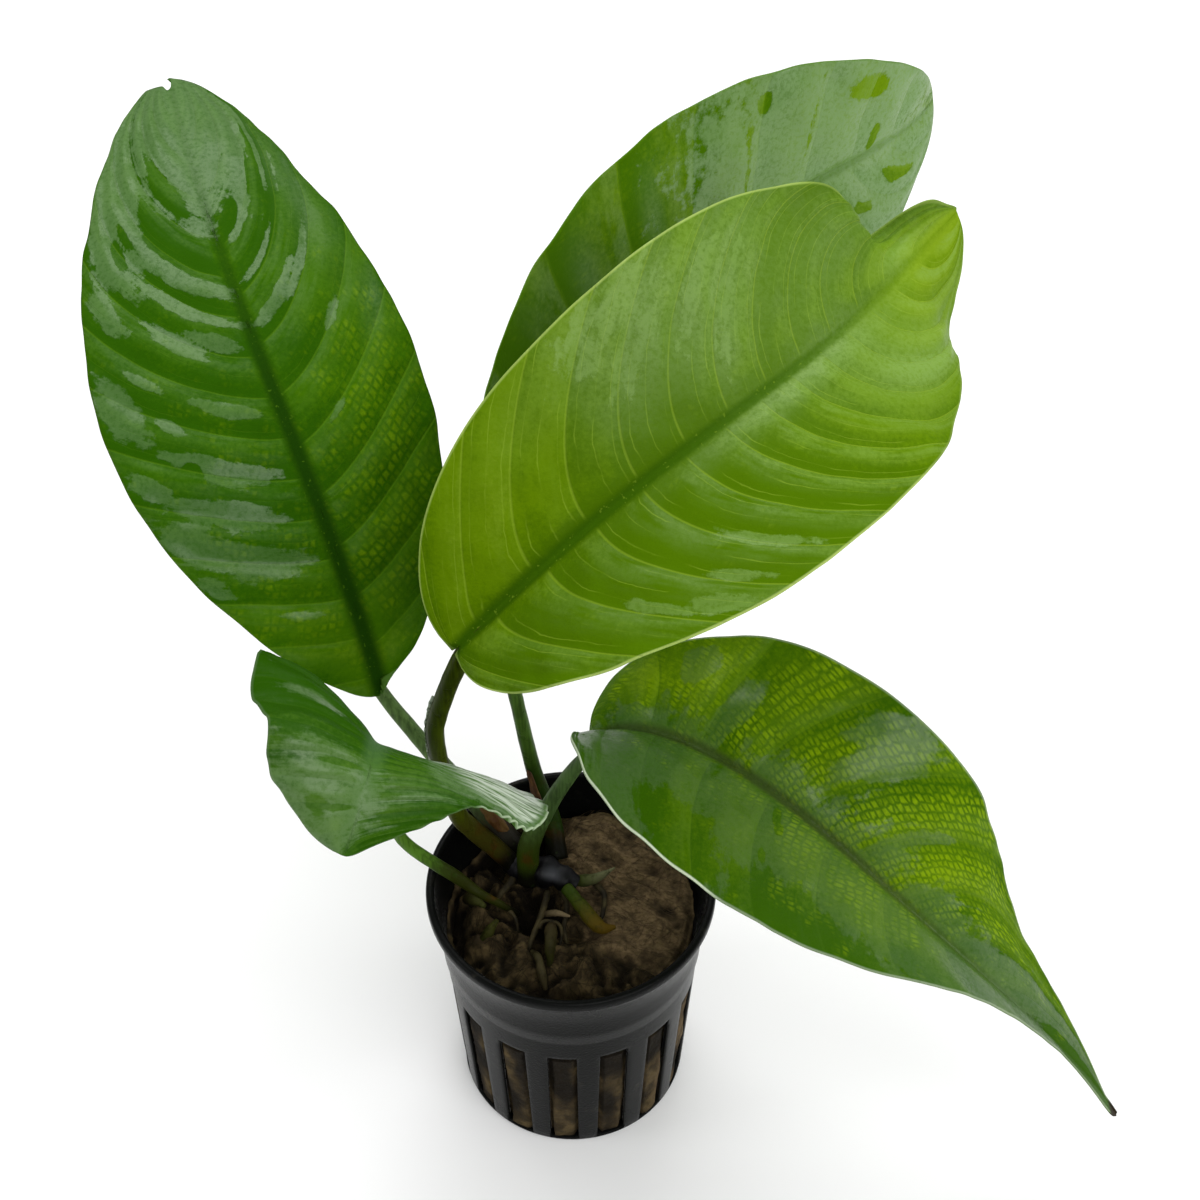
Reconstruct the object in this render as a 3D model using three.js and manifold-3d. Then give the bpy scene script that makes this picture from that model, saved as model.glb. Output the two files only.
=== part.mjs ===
// Anubias heterophylla in its round slotted net pot.
// Millimetres, +Z up, origin at the centre of the pot's flat underside.
// The front of the plant, where the low leaf points, faces -Y.

import * as THREE from 'three';
import { mergeVertices } from 'three/addons/utils/BufferGeometryUtils.js';
import Module from 'manifold-3d';

const wasm = await Module();
wasm.setup();

// Driving dimensions of the pot
const RIM_R = 25;
const POT_H = 51;
const WALL = 1;
const FLOOR = 1;
const BASE_R = 20.5;
const BAND_STEP_Z = 36;
const BAND_STEP_R = 22.5;
const BAND_STEP = 0.3;
const NECK_Z = 42;
const NECK_R = 23.1;
const LIP_H = 1.8;
const LIP_THICK = 1.4;
const SLOT_COUNT = 15;
const SLOT_W = 5;
const SLOT_TOP = 30;
const SLOT_FOOT = 0.8;
const SLOT_FIRST_DEG = -4;
const SLOT_INNER_R = 18;

// Driving dimensions of the plant
const GAP = 0.3;
const WOOL_TOP = 43;
const BLADE_EDGE = 0.6;
const MIDRIB_DEPTH = 1.1;
const MIDRIB_SPREAD = 1.6;
const LOBE_REACH = 0.07;
const BLADE_STATIONS = 18;
const ACROSS = [-1, -0.72, -0.42, -0.16, 0, 0.16, 0.42, 0.72, 1];

// Each blade follows a midrib curve from its base to its tip. face is the way the blade looks
// at the base and at the tip. left and right are the half-widths of the two sides, seen from
// the base with the face up, at stations that crowd toward both ends. bend is the rise of each
// side from the midrib in degrees at the base and at the tip, then how much more the margin
// turns. lobe is how far the rounded base reaches back past the stem. A wave lifts the margin on
// one side, -1 for left and 1 for right, around one place along the blade.
const BLADES = [
  {
    name: 'blade_tall_left',
    colour: 0x325900,
    midrib: [[-31, 13.5, 85], [-37.5, 21.5, 125.5], [-54.5, 45.5, 141.5], [-71.5, 108, 142.5]],
    face: [[0.26, -0.58, 0.77], [0.09, -0.31, 0.95]],
    left: [7.5, 16.5, 24.5, 27.5, 24, 16.5, 8],
    right: [9, 16, 22.5, 25, 23, 16.5, 8.5],
    bendLeft: [5.5, 4.5, -23],
    bendRight: [5, 4, -24.5],
    lobe: 0.8,
  },
  {
    name: 'blade_back',
    colour: 0x3d6401,
    midrib: [[-10.5, 18, 97], [1.5, 65.5, 150.5], [47, 71.5, 138], [62.5, 97, 145]],
    face: [[0.68, -0.49, 0.55], [0.3, -0.95, -0.05]],
    left: [13.5, 22.5, 27, 27.5, 23.5, 16.5, 8],
    right: [13.5, 23, 28, 28, 23.5, 16, 7.5],
    bendLeft: [31, 13, -12.5],
    bendRight: [27, 9.5, -15.5],
    lobe: 1.3,
  },
  {
    name: 'blade_front',
    colour: 0x5d7d01,
    midrib: [[-16, -3, 113], [12, 3.5, 146.5], [35.5, 15.5, 151.5], [42.5, 32, 144], [61, 56.5, 149.5]],
    face: [[-0.19, -0.43, 0.88], [0.07, -0.6, 0.8]],
    left: [13, 22, 26, 27, 23.5, 12.5, 4],
    right: [14, 22.5, 26.5, 25, 22.5, 14.5, 6.5],
    bendLeft: [33, 22, 0],
    bendRight: [29.5, -13.5, -13.5],
    lobe: 1.2,
    waves: [
      { side: -1, at: 0.78, spread: 0.06, height: 3 },
      { side: -1, at: 0.885, spread: 0.035, height: -9 },
      { side: -1, at: 0.96, spread: 0.03, height: 2.5 },
      { side: 1, at: 0.9, spread: 0.06, height: -5.5 },
    ],
    stations: 22,
  },
  {
    name: 'blade_drooping_right',
    colour: 0x3f5f08,
    midrib: [[3.5, 5.5, 81.5], [10.5, 11, 89.5], [43.5, -11, 90.5], [46, -28.5, 76], [72.5, -22, 59.5],
      [97, -22, 12]],
    face: [[-0.76, 0.3, 0.58], [-0.32, -0.07, 0.94]],
    left: [12, 17, 22.5, 23, 18, 8.5, 1],
    right: [15, 23.5, 24.5, 20, 10, 5, 3],
    bendLeft: [18, 22.5, -13.5],
    bendRight: [36, 25, -9.5],
    lobe: -1.5,
  },
  {
    name: 'blade_low_front',
    colour: 0x4d6e12,
    midrib: [[-27.5, -4, 81.5], [-28, -22.5, 120], [-22, -31.5, 130.5], [-29.5, -42.5, 114]],
    face: [[0.4, 0.83, 0.37], [0.32, -0.58, 0.77]],
    left: [12.5, 21, 26, 24.5, 16.5, 10.5, 3.5],
    right: [12, 17.5, 20.5, 20.5, 16, 12.5, 6.5],
    bendLeft: [32.5, 7, -27.5],
    bendRight: [36, 13, -44.5],
    lobe: 2,
    waves: [
      { side: 1, at: 0.6, spread: 0.06, height: -2 },
      { side: 1, at: 0.72, spread: 0.06, height: 1.6 },
      { side: -1, at: 0.5, spread: 0.11, height: -1.3 },
      { side: -1, at: 0.79, spread: 0.08, height: 1 },
    ],
    stations: 20,
  },
];

// Each leaf stalk runs from the rhizome up to its blade. The last point is the blade's base,
// and the stalk stops short of it by stop and the gap.
const STALKS = [
  {
    name: 'stalk_tall_left',
    colour: 0x41562e,
    path: [[-9, 8.5, 49], [-14.8, 10.7, 56], [-24.6, 13, 72], [-31, 13.5, 85]],
    radii: [2.1, 1.9, 1.4, 1.2],
    stop: 2.8,
  },
  {
    name: 'stalk_back',
    colour: 0x2b420a,
    path: [[-2.5, 8, 48], [-3.6, 13, 52], [-6.6, 16.3, 62], [-9.2, 15.8, 82], [-10.5, 18, 97]],
    radii: [1.9, 1.6, 1.15, 0.95, 0.9],
    stop: 2.8,
  },
  {
    name: 'stalk_front',
    colour: 0x293504,
    path: [[-9, 5.5, 48.5], [-14, 6.8, 54], [-19, 4.8, 64], [-21.2, 1.7, 84], [-20.3, 1, 94], [-16, -3, 113]],
    radii: [2, 1.9, 1.8, 1.6, 1.6, 1.45],
    stop: 2.8,
  },
  {
    name: 'stalk_drooping_right',
    colour: 0x31451b,
    path: [[-4.5, 3.5, 48], [-5.2, 6.4, 54], [-2.5, 8.6, 62], [1.3, 6.9, 74], [3.5, 5.5, 81.5]],
    radii: [2.1, 2, 1.8, 1.7, 1.6],
    stop: 3,
  },
  {
    name: 'stalk_low_front',
    colour: 0x3b5c10,
    path: [[-7.5, -0.8, 46.8], [-12, -2.8, 48.8], [-19.2, -1.4, 54], [-27.8, -2.4, 66], [-27.5, -4, 81.5]],
    radii: [1.3, 1.35, 1.3, 1.15, 1],
    stop: 2.8,
  },
];

const RHIZOME = {
  name: 'rhizome',
  colour: 0x1c1e24,
  path: [[-11.5, 8, 46], [-7, 5.6, 47], [-3.8, 4, 47.2], [0, 2.4, 46.6]],
  radii: [1.8, 2.7, 2.4, 3, 2.3, 2.7, 1.6],
};

// Small growths at the crown: a new shoot, the stub of an old leaf stalk, buds and bare roots.
const GROWTHS = [
  {
    name: 'new_shoot',
    colour: 0x6f8f4a,
    path: [[0.3, 5, 45.8], [2.3, 4, 47.2], [4.6, 3.7, 48.3], [7.8, 4.7, 49.3]],
    radii: [1.2, 1.4, 1.1, 0.25],
  },
  {
    name: 'old_stalk_stub',
    colour: 0x6b6a1c,
    path: [[-0.8, 1.6, 47.4], [1.9, -2.4, 47.1], [5, -6, 46.3], [7.6, -5.7, 45.8]],
    radii: [1.1, 1.15, 1.3, 1.4, 0.4],
  },
  {
    name: 'side_bud_upper',
    colour: 0x5c5a24,
    path: [[-18.2, 2.4, 43.4], [-16.8, 0.3, 45.4], [-15, -1.6, 46.2]],
    radii: [1.1, 1.1, 0.5],
  },
  {
    name: 'side_bud_lower',
    colour: 0x4a4a1a,
    path: [[-15.2, -5.8, 42], [-13.9, -5, 44.3], [-12.7, -4.2, 45.8]],
    radii: [1, 1, 0.5],
  },
  {
    name: 'pale_root',
    colour: 0xb0a086,
    path: [[-4.8, -2.4, 45.2], [-2.6, -3.2, 46.4], [-0.2, -3.4, 45.8]],
    radii: [0.6, 0.6, 0.3],
  },
  {
    name: 'front_root',
    colour: 0x6a5a3a,
    path: [[-3.4, -5, 45.2], [-3.4, -6.8, 46.6], [-3.5, -9.4, 45.8], [-3.6, -11.4, 42.6]],
    radii: [0.8, 1.2, 1, 0.6],
  },
  {
    name: 'left_root',
    colour: 0x6a6430,
    path: [[-6.6, -9, 43.4], [-5.6, -11.6, 45.4], [-4.9, -14, 44.9], [-4.3, -15.8, 42]],
    radii: [0.5, 0.7, 0.8, 0.5],
  },
];

// Dry papery sheaths that still clasp the foot of two stalks.
const SHEATHS = [
  {
    name: 'dry_sheath_left',
    colour: 0x5a4128,
    midrib: [[-10.9, 8.3, 54.4], [-13, 9, 57.7], [-15.5, 9.6, 61.5]],
    face: [[0.6, -0.56, 0.56], [0.6, -0.56, 0.56]],
    left: [1.6, 2.2, 2.4, 2.2, 1.9, 1.5, 1],
    right: [1.6, 2.2, 2.4, 2.2, 1.9, 1.5, 1],
    bendLeft: [-35, -35, -50],
    bendRight: [-35, -35, -50],
    lobe: 0,
  },
  {
    name: 'dry_sheath_back',
    colour: 0x4a3522,
    midrib: [[-7.1, 13.4, 55.5], [-8.1, 14.7, 60], [-8.6, 15.2, 64.5]],
    face: [[-0.85, -0.5, 0.1], [-0.85, -0.5, 0.1]],
    left: [1.1, 1.5, 1.5, 1.3, 1.1, 0.8, 0.5],
    right: [1.1, 1.5, 1.5, 1.3, 1.1, 0.8, 0.5],
    bendLeft: [-35, -35, -50],
    bendRight: [-35, -35, -50],
    lobe: 0,
  },
];

const vec = (p) => new THREE.Vector3(...p);
const radians = (deg) => (deg * Math.PI) / 180;
const mix = (a, b, t) => a + (b - a) * t;

// Solid tools

function toManifold(geometry) {
  let g = geometry.clone();
  g.deleteAttribute('normal');
  g.deleteAttribute('uv');
  g = mergeVertices(g, 1e-5);
  const mesh = new wasm.Mesh({
    numProp: 3,
    vertProperties: new Float32Array(g.attributes.position.array),
    triVerts: new Uint32Array(g.index.array),
  });
  return new wasm.Manifold(mesh);
}

function fromManifold(solid) {
  const mesh = solid.getMesh();
  const g = new THREE.BufferGeometry();
  g.setAttribute('position', new THREE.BufferAttribute(new Float32Array(mesh.vertProperties), 3));
  g.setIndex(new THREE.BufferAttribute(new Uint32Array(mesh.triVerts), 1));
  g.computeVertexNormals();
  return g;
}

function indexed(points, faces) {
  const g = new THREE.BufferGeometry();
  g.setAttribute('position', new THREE.Float32BufferAttribute(points.flatMap((p) => [p.x, p.y, p.z]), 3));
  g.setIndex(faces);
  return g;
}

// A round stem along a smooth path, with a radius that changes along it and flat ends.
function stem(path, radii, grow, sides, stations) {
  const curve = new THREE.CatmullRomCurve3(path.map(vec), false, 'centripetal');
  const frames = curve.computeFrenetFrames(stations, false);
  const points = [];
  const faces = [];
  for (let i = 0; i <= stations; i += 1) {
    const s = i / stations;
    const r = radiusAt(radii, s) + grow;
    const centre = curve.getPointAt(s);
    if (i === 0) centre.addScaledVector(frames.tangents[0], -grow);
    if (i === stations) centre.addScaledVector(frames.tangents[stations], grow);
    for (let k = 0; k < sides; k += 1) {
      const a = (2 * Math.PI * k) / sides;
      const p = centre.clone();
      p.addScaledVector(frames.normals[i], r * Math.cos(a));
      p.addScaledVector(frames.binormals[i], r * Math.sin(a));
      points.push(p);
    }
  }
  for (let i = 0; i < stations; i += 1) {
    for (let k = 0; k < sides; k += 1) {
      const a = i * sides + k;
      const b = i * sides + ((k + 1) % sides);
      faces.push(a, b, b + sides, a, b + sides, a + sides);
    }
  }
  const last = stations * sides;
  for (let k = 1; k < sides - 1; k += 1) {
    faces.push(0, k + 1, k);
    faces.push(last, last + k, last + k + 1);
  }
  return indexed(points, faces);
}

function radiusAt(radii, s) {
  const x = s * (radii.length - 1);
  const i = Math.min(Math.floor(x), radii.length - 2);
  return mix(radii[i], radii[i + 1], x - i);
}

// Leaf blades

function curvePoint(control, t) {
  let points = control.map(vec);
  let tangent = new THREE.Vector3();
  while (points.length > 1) {
    if (points.length === 2) tangent = points[1].clone().sub(points[0]).normalize();
    points = points.slice(1).map((p, i) => points[i].clone().lerp(p, t));
  }
  return { point: points[0], tangent };
}

// Half-width at t, by a smooth curve through the stated widths and zero at both ends.
function widthAt(widths, t) {
  const full = [-widths[0], 0, ...widths, 0, -widths[widths.length - 1]];
  const s = (Math.acos(1 - 2 * t) / Math.PI) * (widths.length + 1);
  const i = Math.min(Math.floor(s), widths.length);
  const f = s - i;
  const [a, b, c, d] = full.slice(i, i + 4);
  const w = b + 0.5 * f * (c - a + f * (2 * a - 5 * b + 4 * c - d + f * (3 * (b - c) + d - a)));
  return Math.max(w, 0.5);
}

function bladePoint(leaf, t, u, grow) {
  const { point, tangent } = curvePoint(leaf.midrib, t);
  const face = vec(leaf.face[0]).lerp(vec(leaf.face[1]), t).normalize();
  const side = tangent.clone().cross(face).normalize();
  const up = side.clone().cross(tangent);
  const across = Math.abs(u);
  const width = widthAt(u > 0 ? leaf.right : leaf.left, t) + grow;
  const [base, tip, turn] = u > 0 ? leaf.bendRight : leaf.bendLeft;
  const angle = radians(mix(base, tip, t) + (turn * across) / 2);
  const lobe = leaf.lobe * across ** 1.5 * Math.exp(-t / LOBE_REACH);
  const lift = (leaf.waves ?? [])
    .filter((wave) => wave.side === Math.sign(u))
    .reduce((sum, wave) => sum + wave.height * Math.exp(-(((t - wave.at) / wave.spread) ** 2)), 0);
  const top = point.clone();
  top.addScaledVector(side, Math.sign(u) * width * across * Math.cos(angle));
  top.addScaledVector(up, width * across * Math.sin(angle) + lift * across * across);
  top.addScaledVector(tangent, -lobe + (t === 0 ? -grow : 0) + (t === 1 ? grow : 0));
  const fromMidrib = (width * across) / MIDRIB_SPREAD;
  const ridge = leaf.thin ? 0 : MIDRIB_DEPTH * (1 - t) * Math.exp(-fromMidrib * fromMidrib);
  const under = top.clone().addScaledVector(up, -(BLADE_EDGE + ridge + grow));
  top.addScaledVector(up, grow);
  return { top, under };
}

function blade(leaf, grow = 0) {
  const stations = leaf.stations ?? BLADE_STATIONS;
  const rows = stations + 1;
  const columns = ACROSS.length;
  const tops = [];
  const unders = [];
  for (let i = 0; i < rows; i += 1) {
    const t = (1 - Math.cos((Math.PI * i) / stations)) / 2;
    for (const u of ACROSS) {
      const { top, under } = bladePoint(leaf, t, u, grow);
      tops.push(top);
      unders.push(under);
    }
  }
  const n = tops.length;
  const faces = [];
  const quad = (a, b, c, d) => faces.push(a, b, c, a, c, d);
  for (let i = 0; i < stations; i += 1) {
    for (let j = 0; j < columns - 1; j += 1) {
      const a = i * columns + j;
      quad(a, a + 1, a + 1 + columns, a + columns);
      quad(n + a, n + a + columns, n + a + 1 + columns, n + a + 1);
    }
    const l = i * columns;
    const r = l + columns - 1;
    quad(l, l + columns, n + l + columns, n + l);
    quad(r, n + r, n + r + columns, r + columns);
  }
  const end = stations * columns;
  for (let j = 0; j < columns - 1; j += 1) {
    quad(j, n + j, n + j + 1, j + 1);
    quad(end + j, end + j + 1, n + end + j + 1, n + end + j);
  }
  return indexed([...tops, ...unders], faces);
}

// Pot

function potOuter() {
  return [
    [0, 0],
    [BASE_R - 0.6, 0],
    [BASE_R, 0.6],
    [BAND_STEP_R, BAND_STEP_Z],
    [BAND_STEP_R + BAND_STEP, BAND_STEP_Z + BAND_STEP],
    [NECK_R, NECK_Z],
    [NECK_R + 0.6, NECK_Z + 3.6],
    [RIM_R - 0.5, POT_H - LIP_H - 0.7],
    [RIM_R, POT_H - LIP_H],
    [RIM_R, POT_H - 0.4],
    [RIM_R - 0.4, POT_H],
  ];
}

function potInner() {
  return [
    [RIM_R - LIP_THICK + 0.3, POT_H],
    [RIM_R - LIP_THICK, POT_H - 0.4],
    [RIM_R - LIP_THICK - 0.1, POT_H - 3],
    [NECK_R - WALL, NECK_Z],
    [BASE_R - WALL, FLOOR],
    [0, FLOOR],
  ];
}

function pot() {
  const outline = [...potOuter(), ...potInner()].map(([r, z]) => new THREE.Vector2(r, z));
  const shell = new THREE.LatheGeometry(outline, SLOT_COUNT * 4);
  shell.rotateX(Math.PI / 2);
  let solid = toManifold(shell);
  if (solid.volume() < 0) throw new Error('pot wall is inside out');
  const reach = RIM_R + 1 - SLOT_INNER_R;
  for (let i = 0; i < SLOT_COUNT; i += 1) {
    const a = radians(SLOT_FIRST_DEG + (360 * i) / SLOT_COUNT);
    const cutter = new THREE.BoxGeometry(SLOT_W, reach, SLOT_TOP - SLOT_FOOT);
    cutter.translate(0, -(SLOT_INNER_R + reach / 2), (SLOT_TOP + SLOT_FOOT) / 2);
    cutter.rotateZ(a);
    solid = solid.subtract(toManifold(cutter));
  }
  return fromManifold(solid);
}

// Growing plug of mineral wool: lower and loose at the front left, a smooth chunk at the back right.

function woolHeight(x, y) {
  const chunk = Math.exp(-(((x - 9) / 11) ** 2) - ((y - 5) / 10) ** 2);
  const hollow = Math.exp(-(((x + 8) / 12) ** 2) - ((y + 2) / 10) ** 2);
  const lumps = 0.5 * Math.sin(x * 0.9 + 1) * Math.cos(y * 0.8) + 0.3 * Math.sin(x * 1.7 - y * 1.3);
  return WOOL_TOP + 2.6 * chunk - 1.6 * hollow + lumps;
}

function woolRadius(z, a) {
  const inner = mix(BASE_R - WALL, NECK_R - WALL, z / NECK_Z);
  return Math.min(inner, NECK_R - WALL) - GAP - 0.35 * (1 + Math.sin(7 * a + z * 0.5));
}

function wool() {
  const around = 36;
  const rings = [0.3, 0.55, 0.78, 1];
  const levels = [40, 30, 16, FLOOR + GAP];
  const points = [];
  const faces = [];
  points.push(new THREE.Vector3(0, 0, woolHeight(0, 0)));
  const addRing = (radius, height) => {
    for (let k = 0; k < around; k += 1) {
      const a = (2 * Math.PI * k) / around;
      const r = radius(a);
      const x = r * Math.cos(a);
      const y = r * Math.sin(a);
      points.push(new THREE.Vector3(x, y, height(x, y)));
    }
  };
  for (const ring of rings) addRing((a) => ring * woolRadius(WOOL_TOP, a), woolHeight);
  for (const z of levels) addRing((a) => woolRadius(z, a), () => z);
  points.push(new THREE.Vector3(0, 0, FLOOR + GAP));
  const total = rings.length + levels.length;
  for (let k = 0; k < around; k += 1) {
    const next = (k + 1) % around;
    faces.push(0, 1 + k, 1 + next);
    for (let i = 0; i < total - 1; i += 1) {
      const a = 1 + i * around + k;
      const b = 1 + i * around + next;
      faces.push(a, a + around, b + around, a, b + around, b);
    }
    const low = 1 + (total - 1) * around;
    faces.push(points.length - 1, low + next, low + k);
  }
  return indexed(points, faces);
}

// Assembly: each piece is cut back from the pieces it grows out of, so that none overlap.

function stemSolid(piece, grow) {
  const stations = piece.path.length > 4 ? 12 : piece.path.length * 2 + 1;
  return toManifold(stem(piece.path, piece.radii, grow, 8, stations));
}

const grownStem = (piece) => stemSolid(piece, GAP);
const plainStem = (piece) => stemSolid(piece, 0);

// The largest piece that is left after the cuts.
function carved(solid, cutters) {
  const rest = cutters.reduce((body, cutter) => body.subtract(cutter), solid);
  return rest.decompose().reduce((a, b) => (a.volume() > b.volume() ? a : b));
}

function shortened(stalk) {
  const path = stalk.path.map((p) => [...p]);
  const end = vec(path[path.length - 1]);
  const before = vec(path[path.length - 2]);
  const back = before.clone().sub(end).setLength(GAP + stalk.stop);
  path[path.length - 1] = end.add(back).toArray();
  return { ...stalk, path };
}

const group = new THREE.Group();
group.name = 'anubias_in_net_pot';

function add(name, geometry, colour, roughness) {
  const material = new THREE.MeshStandardMaterial({ color: colour, roughness, metalness: 0 });
  material.name = name;
  const g = geometry.index ? geometry : mergeVertices(geometry);
  g.computeVertexNormals();
  const mesh = new THREE.Mesh(g, material);
  mesh.name = name;
  group.add(mesh);
}

const rhizomeGrown = grownStem(RHIZOME);
const stalks = STALKS.map(shortened);
const stalksGrown = stalks.map(grownStem);

add('net_pot', pot(), 0x2a2c29, 0.6);

const embedded = [rhizomeGrown, ...stalksGrown, ...GROWTHS.map(grownStem)];
add('rockwool_plug', fromManifold(carved(toManifold(wool()), embedded)), 0x4f432c, 0.95);

add(RHIZOME.name, fromManifold(plainStem(RHIZOME)), RHIZOME.colour, 0.35);

const bladesGrown = BLADES.map((leaf) => toManifold(blade(leaf, GAP)));

stalks.forEach((stalk, i) => {
  const cutters = [rhizomeGrown, ...stalksGrown.slice(0, i), ...bladesGrown];
  const solid = carved(plainStem(stalk), cutters);
  add(stalk.name, fromManifold(solid), stalk.colour, 0.4);
});

GROWTHS.forEach((growth) => {
  const solid = carved(plainStem(growth), [rhizomeGrown, ...stalksGrown]);
  add(growth.name, fromManifold(solid), growth.colour, 0.5);
});

BLADES.forEach((leaf) => add(leaf.name, blade(leaf), leaf.colour, 0.3));

SHEATHS.forEach((sheath) => {
  const leaf = { ...sheath, thin: true, stations: 6 };
  const solid = carved(toManifold(blade(leaf)), [rhizomeGrown, ...stalksGrown]);
  add(sheath.name, fromManifold(solid), sheath.colour, 0.8);
});

export default group;
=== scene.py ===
"""Looks of the anubias heterophylla plant in its net pot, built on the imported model's frame."""
import math
import random

import bpy
import numpy as np
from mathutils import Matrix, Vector, noise


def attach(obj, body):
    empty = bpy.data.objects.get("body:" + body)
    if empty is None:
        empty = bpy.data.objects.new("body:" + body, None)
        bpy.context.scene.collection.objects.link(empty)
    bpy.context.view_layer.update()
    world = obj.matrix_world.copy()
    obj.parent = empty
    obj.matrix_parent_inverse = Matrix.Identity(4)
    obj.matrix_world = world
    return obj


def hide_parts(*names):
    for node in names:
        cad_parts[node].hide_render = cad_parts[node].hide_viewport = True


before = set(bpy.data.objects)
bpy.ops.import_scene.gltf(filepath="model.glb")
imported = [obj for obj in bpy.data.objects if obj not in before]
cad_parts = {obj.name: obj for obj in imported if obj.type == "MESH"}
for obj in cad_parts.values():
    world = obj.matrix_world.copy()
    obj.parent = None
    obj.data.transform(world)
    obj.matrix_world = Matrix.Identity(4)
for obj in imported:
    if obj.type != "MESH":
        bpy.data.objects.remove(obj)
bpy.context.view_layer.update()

MM = 0.001
random.seed(11)

# Camera and light. Directions are degrees round from the back toward the right, then degrees up.
CAMERA_PLACE = (0.005, -0.2073, 0.3299)
CAMERA_DOWN = 45.35
LENS = 60
AIM = Vector((0.0, 0.03, 0.09))
LIGHT_DISTANCE = 0.9
SOFTBOXES = [
    {"name": "softbox_top", "round": -12, "up": 62, "width": 0.85, "height": 0.7, "glow": 3.6},
    {"name": "softbox_front", "round": 150, "up": 42, "width": 0.8, "height": 0.55, "glow": 3.4},
    {"name": "strip_right", "round": 95, "up": 14, "width": 0.3, "height": 0.5, "glow": 3.4},
    {"name": "strip_left", "round": -100, "up": 20, "width": 0.3, "height": 0.5, "glow": 2.8},
]
WORLD_GLOW = 0.42
FLOOR_SIDE = 6
FLOOR_Z = -0.00015
FLOOR_COLOURS = [(0.93, 0.93, 0.93), (0.95, 0.95, 0.95)]

# Pot, in millimetres. Its slots are SLOT_W wide and evenly spaced, the first at SLOT_FIRST degrees
# from the front. Rings of the foot and rim are (radius, height), up the outside and down the inside.
# All colours in this script are linear red, green and blue.
POT_DARK = (0.003, 0.0032, 0.003)
POT_LIGHT = (0.0055, 0.0059, 0.0054)
POT_DIRT = (0.05, 0.045, 0.032)
BASE_R = 20.5
FOOT_ROUND = 0.6
STEP_Z = 36
STEP_R = 22.5
NECK_Z = 42
NECK_R = 23.1
WALL = 1
SLOT_COUNT = 15
SLOT_W = 5
SLOT_FOOT = 0.8
SLOT_TOP = 30
SLOT_FIRST = -4
EDGE_ROUND = 0.32
SLOT_HEIGHTS = [SLOT_FOOT, 3, 8, 13, 18, 23, 28, SLOT_TOP]
BAND_HEIGHTS = [31, 33, 35, 35.8]
POT_FOOT = [(6, 0), (13, 0), (19.6, 0), (20.1, 0.08), (20.4, 0.35)]
POT_RIM = [
    (22.62, 36.02), (22.8, 36.25), (22.95, 39), (23.1, 42), (23.4, 44), (23.75, 45.8), (24.15, 47.4),
    (24.5, 48.5), (24.72, 48.8), (24.92, 49.05), (25, 49.35), (25, 50.2), (24.93, 50.6),
    (24.75, 50.88), (24.45, 51), (24.1, 51), (23.8, 50.88), (23.62, 50.6), (23.52, 49.5), (23.45, 48),
    (22.9, 45), (22.1, 42),
]
SLOT_ROWS = len(SLOT_HEIGHTS)
FIRST_SLOT_ROW = len(POT_FOOT)
POT_COLUMNS = 8 * SLOT_COUNT

# Leaf make-up, in millimetres
LEAF_THICK = 0.45
MARGIN_THINNING = 0.35
NARROWEST = 0.4
KEEL_DEEP = 0.5
KEEL_WIDE = 1.3
KEEL_COVER = 0.85
KEEL_TAPER = (0.9, 0.7, 0.45, 0.25)
STALK_UNDER = 0.7
LOBE_REACH = 0.07
FURROW_DEEP = 0.35
FURROW_WIDE = 1.5
FRILL_PLEATS = 26
CELL_SLANT = 45
LEAF_ROWS = 240
LEAF_COLUMNS = 104
MARGIN_CROWDING = 1.15

# Stems have round rings of STEM_SIDES points. CURVE_STEPS are taken between two points of a path.
STEM_SIDES = 18
CURVE_STEPS = 40
CAP_BULGE = 0.2

# Lumps of noise on the pieces, as (height, size, seed) in millimetres
LEAF_SWELLS = [(0.5, 9, 3.1), (0.22, 4, 8.7)]
SHEATH_CRUMPLES = [(0.25, 1.5, 6.0)]
WING_RIPPLES = [(0.12, 1.2, 4.4)]
WOOL_LUMPS = [(0.35, 1.9, 0.3), (0.22, 0.8, 7.3)]
WOOL_CLUMPS = [(2, 4.6, 0.7), (0.7, 1.9, 5.2)]
STALK_LUMPS = [(0.07, 3.0, 5.5)]
GROWTH_LUMPS = [(0.12, 1.6, 2.5)]
ROOT_LUMPS = [(0.12, 1.1, 9.4)]
RHIZOME_LUMPS = [(0.3, 2.6, 1.5), (0.05, 0.9, 4.0)]

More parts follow.
